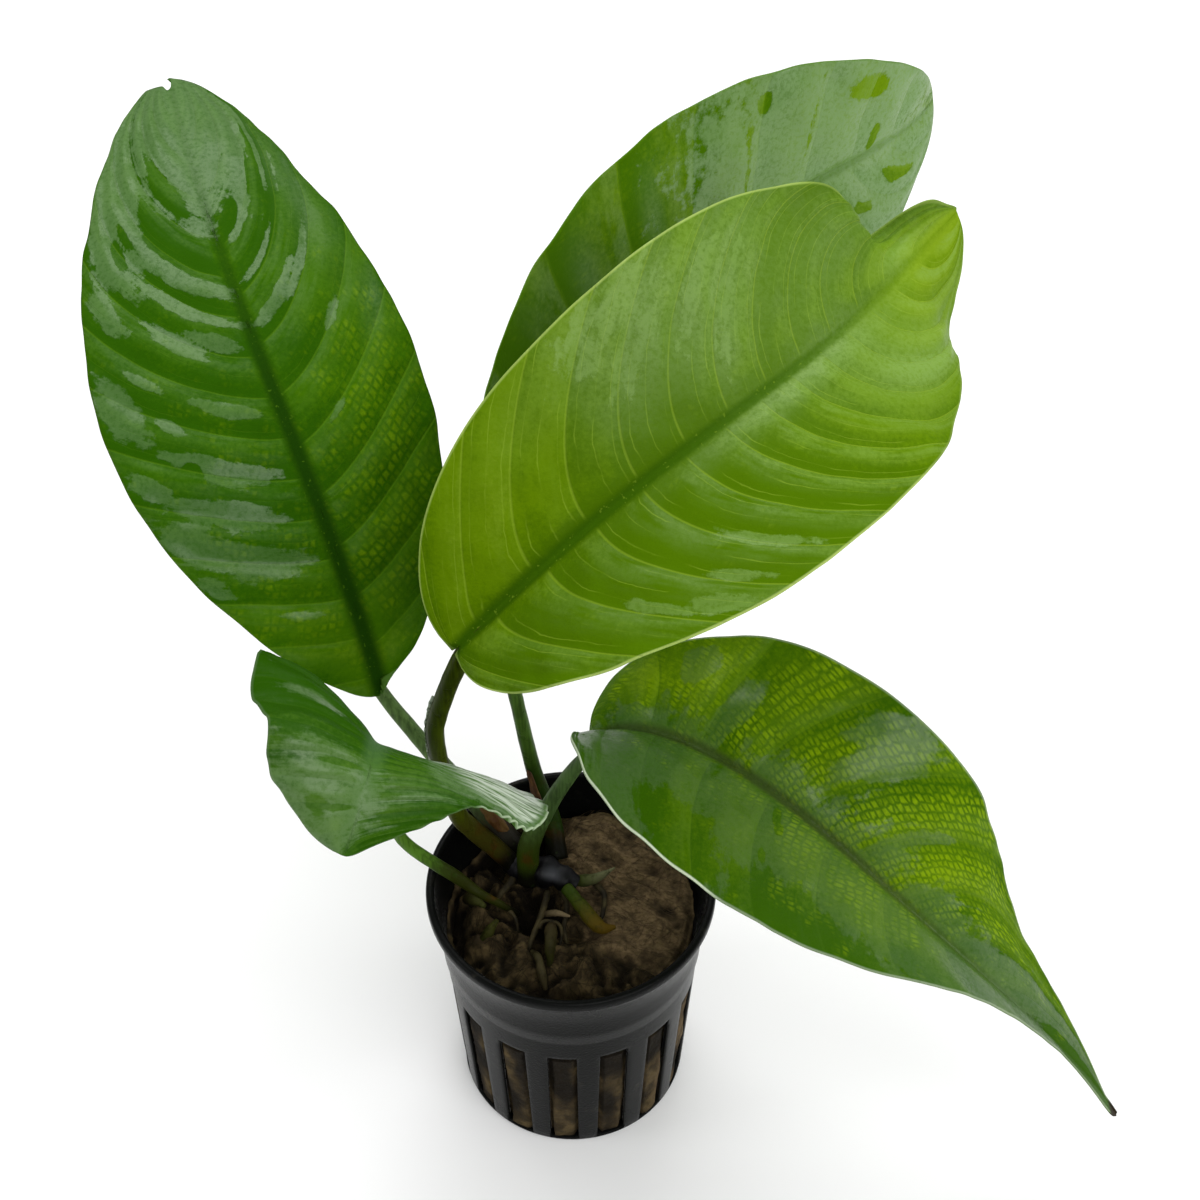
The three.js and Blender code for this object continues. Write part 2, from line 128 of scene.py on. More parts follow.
# A leaf follows its midrib from base to tip, and face is the way it looks at both ends. widths,
# bend, veins and quilt are for the left side and the right. widths are half-widths. bend is the rise
# of a side in degrees at the base and tip, then its extra turn at the margin. veins is how many
# veins there are along the midrib, the number of the first one, and their sweep toward the tip: at
# the base, its growth along the leaf, and how late it curves. quilt is the bulge between the veins.
# lobe is how far the margin runs back past the base, and valley rounds the fold along the midrib.
# A wave lifts one margin (-1 left, 1 right) at one place. frill pleats one margin between two
# places. tip_cut is the bite off the left of the tip: its depth, and its extra notch. midrib_mm and
# midrib_dark are the midrib's half-width and how dark it is, at the base, middle and tip; the dark
# midrib is partly its own colour and partly painted shade of its furrow.
# Patches are (across -1..1, vein start 0..1, half-spans), and a fifth number is their strength: film
# is a wet gloss with ragged edges, also painted into the colour as a sheen, and above a strength of 1
# as a painted highlight; dry is an island in it, glow a soft gloss that is painted into the colour as
# a sheen too, cells a net of light cells, and tones shift light or dark. rims are (side, from, to,
# strength) of painted rim light along the margin.
LEAVES = [
    {
        "name": "tall_left",
        "midrib": [(-31, 13.5, 85), (-37.5, 21.5, 125.5), (-54.5, 45.5, 141.5), (-71.5, 108, 142.5)],
        "face": [(0.26, -0.58, 0.77), (0.09, -0.31, 0.95)],
        "widths": ([7.5, 16.5, 24.5, 27.5, 24, 16.5, 8], [9, 16, 22.5, 25, 23, 16.5, 8.5]),
        "bend": ((5.5, 4.5, -23), (5, 4, -24.5)),
        "lobe": 0.8,
        "lobe_right": -2.5,
        "tip_cut": (0.012, 0.008),
        "veins": ((15.6, 0.57, 0.0, 0.40, 1.6), (12.4, 0.09, 0.02, 0.50, 1.6)),
        "quilt": (0.6, 0.35),
        "film": [
            (-0.5, 0.88, 0.85, 0.17), (-0.78, 0.66, 0.28, 0.1), (-0.35, 0.64, 0.35, 0.02),
            (-0.35, 0.592, 0.35, 0.012), (-0.85, 0.60, 0.15, 0.06), (-0.22, 0.557, 0.15, 0.012),
            (-0.45, 0.535, 0.17, 0.015), (-0.83, 0.513, 0.12, 0.02), (-0.3, 0.452, 0.17, 0.012),
            (-0.68, 0.453, 0.11, 0.008), (-0.63, 0.405, 0.07, 0.01), (-0.86, 0.395, 0.12, 0.035),
            (-0.45, 0.355, 0.28, 0.02), (-0.55, 0.29, 0.3, 0.02), (-0.88, 0.31, 0.1, 0.02),
            (-0.62, 0.225, 0.36, 0.03), (-0.85, 0.24, 0.15, 0.035), (-0.9, 0.18, 0.1, 0.02, 0.7),
            (-0.5, 0.14, 0.25, 0.01, 0.7), (0.45, 0.9, 0.7, 0.17), (0.5, 0.75, 0.3, 0.05),
            (0.75, 0.69, 0.2, 0.07), (0.25, 0.715, 0.2, 0.012), (0.25, 0.585, 0.22, 0.012),
            (0.5, 0.57, 0.2, 0.012), (0.25, 0.65, 0.2, 0.008, 0.8), (0.55, 0.48, 0.1, 0.012, 0.7),
            (0.35, 0.39, 0.1, 0.008, 0.8),
        ],
        "dry": [
            (-0.32, 0.775, 0.15, 0.025), (-0.27, 0.69, 0.22, 0.03), (-0.68, 0.63, 0.06, 0.01),
            (-0.72, 0.60, 0.05, 0.015), (-0.6, 0.35, 0.045, 0.01), (0.15, 0.74, 0.08, 0.012),
            (0.48, 0.705, 0.06, 0.01), (0.6, 0.685, 0.15, 0.012), (0.78, 0.645, 0.15, 0.012),
            (0.93, 0.58, 0.08, 0.02),
        ],
        "glow": [(0.8, 0.58, 0.2, 0.08, 0.5), (0.85, 0.42, 0.12, 0.04, 0.4)],
        "cells": [
            (0.6, 0.33, 0.45, 0.17, 1.0), (0.5, 0.15, 0.5, 0.12, 0.75), (-0.5, 0.13, 0.5, 0.1, 0.7),
            (-0.4, 0.4, 0.4, 0.15, 0.35),
        ],
        "tones": [(0.6, 0.35, 0.5, 0.2, 0.35), (0.4, 0.07, 0.7, 0.1, 0.4), (-0.5, 0.08, 0.6, 0.12, 0.5)],
        "rims": [(-1, 0.0, 1.0, 0.25), (1, 0.0, 1.0, 0.3)],
        "midrib_mm": (1.9, 1.4, 0.6),
        "midrib_dark": (1.1, 1.05, 0.2),
    },
    {
        "name": "back",
        "midrib": [(-10.5, 18, 97), (1.5, 65.5, 150.5), (47, 71.5, 138), (62.5, 97, 145)],
        "face": [(0.68, -0.49, 0.55), (0.3, -0.95, -0.05)],
        "widths": ([13.5, 22.5, 27, 27.5, 23.5, 16.5, 8], [13.5, 23, 28, 28, 23.5, 16, 7.5]),
        "bend": ((31, 13, -12.5), (27, 9.5, -15.5)),
        "lobe": 1.3,
        "veins": ((10, 0.4, 0.02, 0.05, 1.6), (10, 0.4, 0.05, 0.2, 1.6)),
        "quilt": (0.4, 0.35),
        "film": [(-0.4, 0.72, 1.6, 0.27), (0.5, 0.75, 0.8, 0.27)],
        "dry": [
            (-0.75, 0.75, 0.12, 0.04), (-0.2, 0.80, 0.15, 0.012), (0.4, 0.81, 0.15, 0.02),
            (-0.8, 0.56, 0.07, 0.01), (0.4, 0.72, 0.06, 0.02), (-0.55, 0.65, 0.35, 0.006, 0.5),
            (-0.5, 0.545, 0.35, 0.006, 0.5),
        ],
        "glow": [(-0.55, 0.3, 0.3, 0.02, 0.3), (-0.5, 0.4, 0.3, 0.015, 0.35), (0.0, 0.95, 0.9, 0.1, 0.5)],
        "cells": [(-0.5, 0.36, 0.45, 0.12, 0.35)],
        "tones": [
            (-0.75, 0.8, 0.3, 0.12, 0.5), (0.0, 0.1, 1.0, 0.2, -0.2), (0.0, 0.9, 1.0, 0.2, 0.3),
            (-0.4, 0.6, 0.6, 0.16, 0.3),
        ],
        "rims": [(-1, 0.0, 1.0, 0.3), (1, 0.0, 1.0, 0.3)],
        "midrib_mm": (1.6, 1.1, 0.6),
        "midrib_dark": (0.9, 0.6, 0.2),
    },
    {
        "name": "front",
        "midrib": [(-16, -3, 113), (12, 3.5, 146.5), (35.5, 15.5, 151.5), (42.5, 32, 144), (61, 56.5, 149.5)],
        "face": [(-0.19, -0.43, 0.88), (0.07, -0.6, 0.8)],
        "widths": ([13, 22, 26, 27, 23.5, 12.5, 4], [14, 22.5, 26.5, 25, 22.5, 14.5, 6.5]),
        "bend": ((33, 22, 0), (29.5, -13.5, -13.5)),
        "lobe": 1.2,
        "waves": [
            (-1, 0.78, 0.06, 3), (-1, 0.885, 0.035, -9), (-1, 0.96, 0.03, 2.5), (1, 0.9, 0.06, -5.5),
            (1, 0.62, 0.035, 1.4), (1, 0.5, 0.04, -1.2), (1, 0.38, 0.03, 0.9),
        ],
        "veins": ((12.8, 0.624, 0.12, 0.30, 2.0), (14.3, 0.28, 0.10, 0.22, 2.2)),
        "quilt": (0.3, 0.6),
        "film": [
            (0.7, 0.265, 0.2, 0.012, 0.8), (0.8, 0.2, 0.1, 0.01, 0.8), (0.75, 0.13, 0.15, 0.01, 0.8),
            (0.9, 0.15, 0.1, 0.02, 0.8), (-0.85, 0.22, 0.2, 0.08, 0.75), (-0.6, 0.28, 0.2, 0.04, 0.75),
            (-0.7, 0.37, 0.3, 0.03, 0.75), (-0.5, 0.44, 0.3, 0.025, 0.75),
        ],
        "dry": [(-0.92, 0.36, 0.05, 0.02), (-0.9, 0.42, 0.06, 0.02)],
        "glow": [
            (-0.85, 0.22, 0.25, 0.12, 0.6), (-0.55, 0.28, 0.3, 0.06, 0.6), (-0.7, 0.38, 0.4, 0.06, 0.6),
            (-0.5, 0.45, 0.4, 0.05, 0.55), (-0.5, 0.62, 0.6, 0.2, 0.4), (0.5, 0.68, 0.5, 0.12, 0.6),
            (0.65, 0.66, 0.3, 0.03, 0.6), (-0.25, 0.85, 0.2, 0.05, 0.6), (0.1, 0.52, 0.09, 0.2, 0.85),
        ],
        "cells": [],
        "tones": [
            (-0.5, 0.06, 0.8, 0.14, 0.65), (-0.3, 0.33, 0.3, 0.07, -0.4), (-0.4, 0.6, 0.6, 0.12, -0.25),
            (0.5, 0.2, 0.6, 0.18, -0.45), (0.6, 0.45, 0.6, 0.12, 0.15), (0.6, 0.75, 0.6, 0.2, 0.7),
            # The last tone is painted shade in the fold just left of the midrib.
            (-0.3, 0.85, 0.6, 0.1, 0.6), (0.0, 0.97, 1.5, 0.1, 0.8), (-0.06, 0.5, 0.06, 0.4, -0.8),
        ],
        "rims": [(-1, 0.0, 0.75, 0.7), (-1, 0.75, 1.0, 0.35), (1, 0.0, 0.6, 1.0), (1, 0.6, 1.0, 0.4)],
        "midrib_mm": (1.5, 0.95, 0.45),
        "midrib_dark": (1.0, 0.75, 0.1),
    },
    {
        "name": "drooping_right",
        "midrib": [
            (3.5, 5.5, 81.5), (10.5, 11, 89.5), (43.5, -11, 90.5), (46, -28.5, 76), (72.5, -22, 59.5),
            (97, -22, 12),
        ],
        "face": [(-0.76, 0.3, 0.58), (-0.32, -0.07, 0.94)],
        "widths": ([12, 17, 22.5, 23, 18, 8.5, 1], [15, 23.5, 24.5, 20, 10, 5, 3]),
        "bend": ((18, 22.5, -13.5), (36, 25, -9.5)),
        "lobe": -1.5,
        "veins": ((11, 0.37, -0.13, 0.65, 1.6), (10, 0.3, 0.12, -0.12, 1.8)),
        "quilt": (0.35, 0.25),
        "film": [
            (0.5, 0.15, 0.75, 0.2), (0.5, 0.45, 0.75, 0.25), (0.5, 0.75, 0.8, 0.3),
            (-0.35, 0.255, 0.3, 0.02), (-0.7, 0.19, 0.2, 0.02), (-0.6, 0.40, 0.3, 0.025),
            (-0.8, 0.37, 0.2, 0.03), (-0.35, 0.51, 0.25, 0.012), (-0.15, 0.62, 0.15, 0.04),
            (-0.1, 0.12, 0.2, 0.05), (-0.4, 0.78, 0.6, 0.09), (-0.4, 0.92, 0.9, 0.12, 0.85),
        ],
        "dry": [
            (0.75, 0.24, 0.22, 0.08), (0.84, 0.44, 0.24, 0.1), (0.25, 0.4, 0.05, 0.007),
            (0.52, 0.385, 0.06, 0.006), (0.17, 0.39, 0.06, 0.005),
            (0.0, 1.03, 1.6, 0.07, 2.0), (0.1, 0.97, 1.8, 0.1, 1.3),
        ],
        "glow": [(0.4, 0.5, 0.5, 0.2, 0.3), (0.2, 0.93, 1.5, 0.12, 0.15)],
        "cells": [
            (-0.5, 0.3, 0.75, 0.34, 1.0), (-0.5, 0.55, 0.7, 0.16, 0.9), (0.35, 0.46, 0.4, 0.06, 0.6),
            (0.35, 0.58, 0.4, 0.05, 0.6),
        ],
        "tones": [
            (-0.6, 0.17, 0.5, 0.1, 0.8), (-0.5, 0.57, 0.5, 0.1, 0.6), (-0.5, 0.36, 0.6, 0.08, 0.3),
            (0.45, 0.08, 0.6, 0.14, -0.4), (0.6, 0.27, 0.4, 0.1, 0.25), (0.35, 0.5, 0.3, 0.16, 0.5),
            (0.85, 0.45, 0.2, 0.1, -0.4), (0.0, 0.96, 1.5, 0.12, -0.7),
        ],
        "rims": [(1, 0.0, 0.39, 1.0), (1, 0.39, 1.0, 0.3), (-1, 0.0, 1.0, 0.25)],
        "midrib_mm": (1.3, 0.9, 0.45),
        "midrib_dark": (0.8, 0.8, 0.1),
    },
    {
        "name": "low_front",
        "midrib": [(-27.5, -4, 81.5), (-28, -22.5, 120), (-22, -31.5, 130.5), (-29.5, -42.5, 114)],
        "face": [(0.4, 0.83, 0.37), (0.32, -0.58, 0.77)],
        "widths": ([12.5, 21, 26, 24.5, 16.5, 10.5, 3.5], [12, 17.5, 20.5, 20.5, 16, 12.5, 6.5]),
        "bend": ((32.5, 7, -27.5), (36, 13, -44.5)),
        "lobe": 2,
        "valley": 0.25,
        "waves": [(1, 0.6, 0.06, -2), (1, 0.72, 0.06, 1.6), (-1, 0.5, 0.11, -1.3), (-1, 0.79, 0.08, 1)],
        "frill": (-1, 0.42, 0.64, 0.75),
        "veins": ((20, 0.0, -0.12, 0.0, 1.2), (14, 0.0, 0.06, 0.0, 1.0)),
        "quilt": (0.3, 0.35),
        "film": [
            (-0.8, 0.41, 0.42, 0.28, 2.1), (-0.5, 0.88, 0.4, 0.08, 0.9), (0.45, 0.84, 0.7, 0.17),
            (0.55, 0.515, 0.25, 0.02, 0.9),
        ],
        "dry": [
            (-0.6, 0.9, 0.3, 0.04), (0.55, 0.86, 0.15, 0.03), (0.3, 0.73, 0.2, 0.01), (0.3, 0.87, 0.2, 0.01),
        ],
        "glow": [(0.6, 0.8, 0.5, 0.15, 0.35), (-0.4, 0.8, 0.5, 0.12, 0.3), (-0.6, 0.45, 0.3, 0.25, 0.4)],
        "cells": [],
        "tones": [
            (0.5, 0.3, 0.9, 0.3, -0.6), (0.5, 0.8, 0.6, 0.15, 0.5), (-0.3, 0.8, 0.5, 0.15, 0.2),
            (0.3, 0.93, 0.12, 0.06, 0.6),
        ],
        "rims": [(-1, 0.3, 0.7, 0.8), (-1, 0.7, 1.0, 0.1), (1, 0.0, 0.4, 0.35), (1, 0.4, 1.0, 0.1)],
        "midrib_mm": (2.4, 2.0, 1.5),
        "midrib_dark": (0.5, 0.6, 0.1),
    },
]

# Colours of each leaf. sheen is the colour of a painted sheen, white that of a painted highlight on
# the film, and rim that of painted rim light on the margin. bands is how strongly the gloss and the
# painted sheen follow the veins on the left and on the right, painted_sheen how strongly the sheen
# is painted into the colour at the base and tip, gloss how shiny it is, and blur how soft the edges
# of the film are. lines and fine are how pale the side veins are. net is how many rows of cells lie
# between two veins, and the cells to a millimetre in a row. From brown_from on, the tip is withered.
WITHERED = (0.018, 0.012, 0.004)
RUST = (0.05, 0.02, 0.002)
STALK_END_SHADE = (0.003, 0.003, 0.001)
LEAF_LOOKS = {
    "tall_left": {
        "dark": (0.02, 0.08, 0.0003), "mid": (0.045, 0.13, 0.0005), "light": (0.13, 0.235, 0.001),
        "sheen": (0.11, 0.205, 0.065), "white": (0.5, 0.6, 0.45), "vein": (0.10, 0.21, 0.01),
        "midrib": (0.009, 0.04, 0.0008), "rim": (0.07, 0.16, 0.003),
        "bands": (0.22, 0.18), "painted_sheen": (0.15, 0.58), "gloss": 0.4,
        "lines": 0.26, "fine": 0.12, "net": (5.0, 0.7), "blur": 0.12,
    },
    "back": {
        "dark": (0.048, 0.13, 0.0001), "mid": (0.115, 0.215, 0.0005), "light": (0.16, 0.28, 0.002),
        "sheen": (0.145, 0.255, 0.085), "white": (0.5, 0.6, 0.45), "vein": (0.1, 0.2, 0.01),
        "midrib": (0.02, 0.07, 0.001), "rim": (0.07, 0.17, 0.004),
        "bands": (0.25, 0.25), "painted_sheen": (0.5, 0.95), "gloss": 0.5,
        "lines": 0.25, "fine": 0.06, "net": (6.0, 0.9), "blur": 0.14,
    },
    "front": {
        "dark": (0.062, 0.138, 0.0002), "mid": (0.11, 0.208, 0.0004), "light": (0.2, 0.315, 0.012),
        "sheen": (0.19, 0.32, 0.07), "white": (0.5, 0.6, 0.45), "vein": (0.27, 0.4, 0.03),
        "midrib": (0.03, 0.09, 0.001), "rim": (0.36, 0.48, 0.12),
        "bands": (0.1, 0.45), "painted_sheen": (0.25, 0.85), "gloss": 0.25,
        "lines": 0.32, "fine": 0.34, "net": (6.0, 0.9), "blur": 0.16,
    },
    "drooping_right": {
        "dark": (0.03, 0.09, 0.0005), "mid": (0.07, 0.15, 0.001), "light": (0.23, 0.36, 0.002),
        "sheen": (0.058, 0.12, 0.028), "white": (0.6, 0.68, 0.58), "vein": (0.05, 0.12, 0.008),
        "midrib": (0.03, 0.045, 0.012), "rim": (0.6, 0.68, 0.5),
        "bands": (0.2, 0.2), "painted_sheen": (0.5, 0.36), "gloss": 0.45,
        "lines": 0.2, "fine": 0.05, "net": (7.0, 1.1), "blur": 0.14,
        "brown_from": 0.975,
    },
    "low_front": {
        "dark": (0.016, 0.066, 0.0002), "mid": (0.04, 0.11, 0.002), "light": (0.09, 0.18, 0.01),
        "sheen": (0.105, 0.185, 0.065), "white": (0.47, 0.53, 0.43), "vein": (0.13, 0.24, 0.03),
        "midrib": (0.075, 0.15, 0.06), "rim": (0.4, 0.5, 0.32),
        "bands": (0.15, 0.1), "painted_sheen": (0.5, 0.6), "gloss": 0.45,
        "lines": 0.04, "fine": 0.04, "net": (6.0, 0.9), "blur": 0.3,
    },
}

# Stalks from the rhizome to the leaf base, in millimetres. foot is the colour below foot_from,
# partly the stalk's own darker colour and partly painted shade of the crown.
STALKS = {
    "tall_left": {
        "path": [(-9.2, 9.8, 47), (-14.8, 11.6, 55.2), (-24.6, 13, 72), (-31, 13.5, 85)],
        "radii": [2.1, 1.9, 1.4, 1.2],
        "colour": (0.068, 0.12, 0.032),
        "foot": (0.022, 0.02, 0.014),
    },
    "back": {
        "path": [(-2.5, 8, 47), (-3.6, 13, 52), (-6.6, 16.3, 62), (-9.2, 15.8, 82), (-10.5, 18, 97)],
        "radii": [1.9, 1.7, 1.35, 1.2, 1.1],
        "colour": (0.036, 0.078, 0.009),
        "foot": (0.012, 0.03, 0.0012),
    },
    "front": {
        "path": [
            (-9.3, 7, 45.5), (-13.8, 7.9, 51), (-17, 7.2, 56.5), (-19.3, 4.6, 65), (-21.2, 1.7, 84),
            (-20.3, 1, 94), (-16, -3, 113),
        ],
        "radii": [1.7, 1.75, 1.7, 1.6, 1.45, 1.5, 1.45],
        "colour": (0.034, 0.05, 0.0006),
        "foot": (0.04, 0.036, 0.004),
    },
    "drooping_right": {
        "path": [(-7.4, 4.2, 45.8), (-7.2, 6.2, 53.5), (-3.4, 8.6, 62), (1.3, 6.9, 74), (3.5, 5.5, 81.5)],
        "radii": [2.0, 1.95, 1.45, 1.2, 1.15],
        "colour": (0.045, 0.085, 0.022),
        "foot": (0.022, 0.036, 0.002),
    },
    "low_front": {
        "path": [
            (-9.3, -1.6, 44), (-12.2, -2.2, 47.6), (-15.6, -2.2, 50.8), (-19.2, -1.4, 54),
            (-27.8, -2.4, 66), (-27.5, -4, 81.5),
        ],
        "radii": [0.5, 0.65, 0.8, 1.15, 1.05, 0.95],
        "colour": (0.05, 0.115, 0.01),
        "foot": (0.018, 0.022, 0.002),
        "foot_from": 0.4,
    },
}

RHIZOME_PATH = [(-11.5, 8, 46), (-7, 6, 46.6), (-2.8, 4.2, 47.4), (1, 3, 46.2)]
RHIZOME_RADII = [1.7, 2.5, 2.2, 2.7, 3.1, 2.2, 2.3, 1.3]
# RHIZOME_KNOB is the middle of the painted grey highlight. RHIZOME_DARK is partly the rhizome's own colour
# and partly painted shade.
RHIZOME_KNOB = (-3.2, 2.6, 50)
RHIZOME_SCARS = 5
RHIZOME_SCAR_DEEP = 0.22
RHIZOME_DARK = (0.001, 0.001, 0.0012)
RHIZOME_LIGHT = (0.005, 0.005, 0.006)
RHIZOME_HIGHLIGHT = (0.05, 0.052, 0.06)

# Small growths at the crown, in millimetres
GROWTHS = [
    {
        "name": "sprout", "node": "new_shoot",
        "path": [(0.3, 4.6, 45.2), (2.3, 3.8, 46.4), (4.4, 3.6, 47.4), (7.6, 4.9, 48.6)],
        "radii": [0.9, 1.15, 0.75, 0.12],
        "colours": [(0.03, 0.042, 0.006), (0.11, 0.11, 0.055)],
    },
    {
        "name": "old_stub", "node": "old_stalk_stub",
        "path": [(-0.8, 1.6, 47.2), (1.9, -2.4, 47.1), (5, -6, 46.3), (7.6, -5.7, 45.8)],
        "radii": [1.1, 1.15, 1.3, 1.4, 0.35],
        "colours": [(0.024, 0.042, 0.003), (0.075, 0.045, 0.004)],
    },
    {
        "name": "bud_upper", "node": "side_bud_upper",
        "path": [(-18.2, 2.4, 43), (-16.8, 0.3, 45.4), (-15, -1.6, 46.2)],
        "radii": [1.1, 1.1, 0.4],
        "colours": [(0.022, 0.018, 0.006), (0.04, 0.045, 0.01)],
    },
    {
        "name": "bud_lower", "node": "side_bud_lower",
        "path": [(-15.2, -5.8, 41.8), (-13.9, -5, 44.3), (-12.7, -4.2, 45.8)],
        "radii": [1.0, 0.95, 0.35],
        "colours": [(0.022, 0.024, 0.005), (0.04, 0.042, 0.008)],
    },
    {
        "name": "root_pale_stub", "node": "pale_root",
        "path": [(-4.8, -2.4, 45), (-2.6, -3.2, 46.4), (-0.2, -3.4, 45.8)],
        "radii": [0.55, 0.6, 0.25],
        "colours": [(0.04, 0.03, 0.015), (0.16, 0.12, 0.065)],
    },
    {
        "name": "root_at_front", "node": "front_root",
        "path": [(-3.4, -5, 45), (-3.4, -6.8, 46.6), (-3.5, -9.4, 45.8), (-3.6, -11.4, 42.6)],
        "radii": [0.8, 1.15, 0.9, 0.5],
        "colours": [(0.03, 0.022, 0.009), (0.022, 0.024, 0.005)],
    },
    {
        "name": "root_at_left", "node": "left_root",
        "path": [(-6.6, -9, 43.2), (-5.6, -11.6, 45.4), (-4.9, -14, 44.9), (-4.3, -15.8, 42)],
        "radii": [0.45, 0.65, 0.75, 0.4],
        "colours": [(0.03, 0.026, 0.01), (0.05, 0.04, 0.018)],
    },
]

# Thin bare roots that wander over the wool, as paths and a radius in millimetres
THIN_ROOTS = [
    ([(-12.4, -1.4, 45.6), (-10.9, -2.2, 45.9), (-9.6, -3.4, 45), (-9.2, -4.8, 43)], 0.35),
    ([(1.2, 5.4, 45), (3.2, 4.2, 46), (5.5, 1.4, 46.2), (5.6, -2.2, 46), (4.3, -5.4, 44)], 0.55),
    ([(-4.1, 1.7, 46), (-5.2, -2.9, 45.2), (-6.7, -6.5, 43.6), (-7.4, -8.6, 41.5)], 0.55),
    ([(-10, 7.4, 45.4), (-10.4, 4.6, 45.4), (-12.5, 2.0, 44.4), (-13, 0.4, 42)], 0.6),
    ([(-2, 2.6, 45), (-0.8, 0.2, 44.2), (-1.2, -3.8, 43), (-0.6, -6.6, 41)], 0.45),
    ([(-5.4, -5.2, 44.6), (-4.8, -4.2, 45.3), (-2.4, -4.6, 45.4), (-1.6, -6.4, 45.2), (-2, -8.2, 43)], 0.35),
]
ROOT_COLOURS = [(0.01, 0.008, 0.004), (0.045, 0.035, 0.014)]

# Dry sheaths around the foot of two stalks, and the torn edge of one along the front stalk
SHEATHS = [
    {
        "name": "sheath_left", "node": "dry_sheath_left",
        "midrib": [(-10.9, 9.0, 53.8), (-13, 9.7, 57.1), (-15.5, 10.2, 61)],
        "face": (0.6, -0.56, 0.56),
        "widths": [1.7, 2.5, 2.8, 2.7, 2.3, 1.8, 1.2],
        "colours": [(0.065, 0.024, 0.002), (0.1, 0.055, 0.01)],
    },
    {
        "name": "sheath_back", "node": "dry_sheath_back",
        "midrib": [(-6.0, 12.6, 54), (-7.2, 14, 58.5), (-7.7, 14.8, 63)],
        "face": (-0.85, -0.5, 0.1),
        "widths": [1.3, 1.6, 1.5, 1.3, 1.1, 0.9, 0.7],
        "colours": [(0.05, 0.02, 0.006), (0.15, 0.07, 0.02)],
    },
]
SHEATH_CURL = (-35, -35, -50)
SHEATH_PLEAT = 0.12
SHEATH_THICK = 0.18
WING_COLOURS = [(0.12, 0.15, 0.09), (0.55, 0.6, 0.5)]
WING_FACE = (0.05, -0.62, 0.78)
WING_FROM = 79
WING_TO = 98
WING_THICK = 0.14

# Wool, in millimetres. Its dents and tufts are (x, y, spread along x, spread along y, rise). Its
# colours are dark and light for the clean block, and the one for the rooty part.
WOOL_TOP = 43
WOOL_FOOT = 1.0
WOOL_GAP = 0.45
WOOL_BULGE = 1.15
WOOL_DEEPEST = 9
WOOL_SUNK = 0.25
SLOT_LUMP_STRETCH = np.array([1.3, 1.3, 0.5])
SLOT_LUMP_SIZE = 5.0
SLOT_LUMP_RISE = 0.5
WOOL_SPOTS = [
    (-8, -2, 12, 10, -2.6), (-6.3, 1.5, 3.4, 3.4, -7), (-5.2, -1.5, 2.6, 2.4, -4.5),
    (0.4, -5.2, 2.6, 2.0, -3.5), (-12.9, -2.6, 1.6, 1.3, -2.5), (-5, -8.2, 1.6, 1.4, -2.0),
    (-23.5, 2, 4.2, 12, -7), (-19, -11.5, 3.2, 5, -6), (-12.5, -18, 6, 2.4, -4), (-7, 19, 4.6, 6, -9),
    (-13, 14.5, 7.5, 5.5, -8), (-9, 10.5, 3.4, 3, -5), (-1, 22.5, 3, 1.6, -5),
    (-14.5, 9.2, 2.2, 1.8, 1.4), (-12.6, 3.8, 1.8, 1.8, 1.4), (-17.6, 2.1, 2.0, 1.8, 1.0),
    (-17, -3.2, 2.2, 2.0, 1.0), (3.3, -12.9, 3.0, 2.4, 1.2), (0.9, -8.6, 1.8, 1.6, 1.0),
    (6.7, -0.8, 2.4, 3.0, 0.8), (4.5, 14, 4.0, 5.0, 1.6),
]
WET_WOOL = [(0.085, 0.058, 0.027), (0.2, 0.138, 0.068), (0.1, 0.07, 0.03)]
LOOSE_WOOL = [(0.05, 0.034, 0.016), (0.13, 0.092, 0.046), (0.04, 0.03, 0.013)]
TOP_FIBRES = 700
FIBRES_IN_SLOT = 55
FIBRE_RADIUS = 0.045


# Small tools


def unit(v):
    return v / np.linalg.norm(v, axis=-1, keepdims=True)


def smooth(x, low, high):
    """0 on the side of low and 1 on the side of high, with a smooth step between them."""
    x = np.clip((x - low) / (high - low), 0, 1)
    return x * x * (3 - 2 * x)


def hump(x, y, middle_x, middle_y, spread_x, spread_y):
    """1 in the middle of an oval spot, fading to 0 around it."""
    return np.exp(-(((x - middle_x) / spread_x) ** 2) - ((y - middle_y) / spread_y) ** 2)


def noise_field(points, size, seed=0.0):
    """Smooth noise from -1 to 1 at each point in millimetres, with lumps of about the given size."""
    flat = points.reshape(-1, 3) / size + seed
    values = [noise.noise(Vector(p)) for p in flat]
    return np.array(values).reshape(points.shape[:-1])


def lumps_at(points, lumps):
    """The sum of several noises, as each one's height, size and seed say."""
    return sum(height * noise_field(points, size, seed) for height, size, seed in lumps)


def add_piece(name, points, faces, material, node=None):
    """A smooth mesh from points in millimetres, in place of a CAD node or on its own."""
    mesh = bpy.data.meshes.new(name)
    mesh.from_pydata((np.asarray(points) * MM).tolist(), [], faces)
    mesh.polygons.foreach_set("use_smooth", [True] * len(mesh.polygons))
    mesh.materials.append(material)
    piece = bpy.data.objects.new(name, mesh)
    bpy.context.scene.collection.objects.link(piece)
    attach(piece, "root")
    if node:
        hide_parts(node)
    return piece


def add_value(piece, name, values):
    """A number stored on each point of a mesh, for its material to read."""
    layer = piece.data.attributes.new(name, "FLOAT", "POINT")
    layer.data.foreach_set("value", np.ravel(values).astype(np.float32))


def grid_faces(rows, columns, start=0, closed=False, flip=False):
    """Four-sided faces between the points of a grid that is stored row by row."""
    faces = []
    for i in range(rows - 1):
        for j in range(columns if closed else columns - 1):
            a = start + i * columns + j
            b = start + i * columns + (j + 1) % columns
            face = (a, b, b + columns, a + columns)
            faces.append(face[::-1] if flip else face)
    return faces


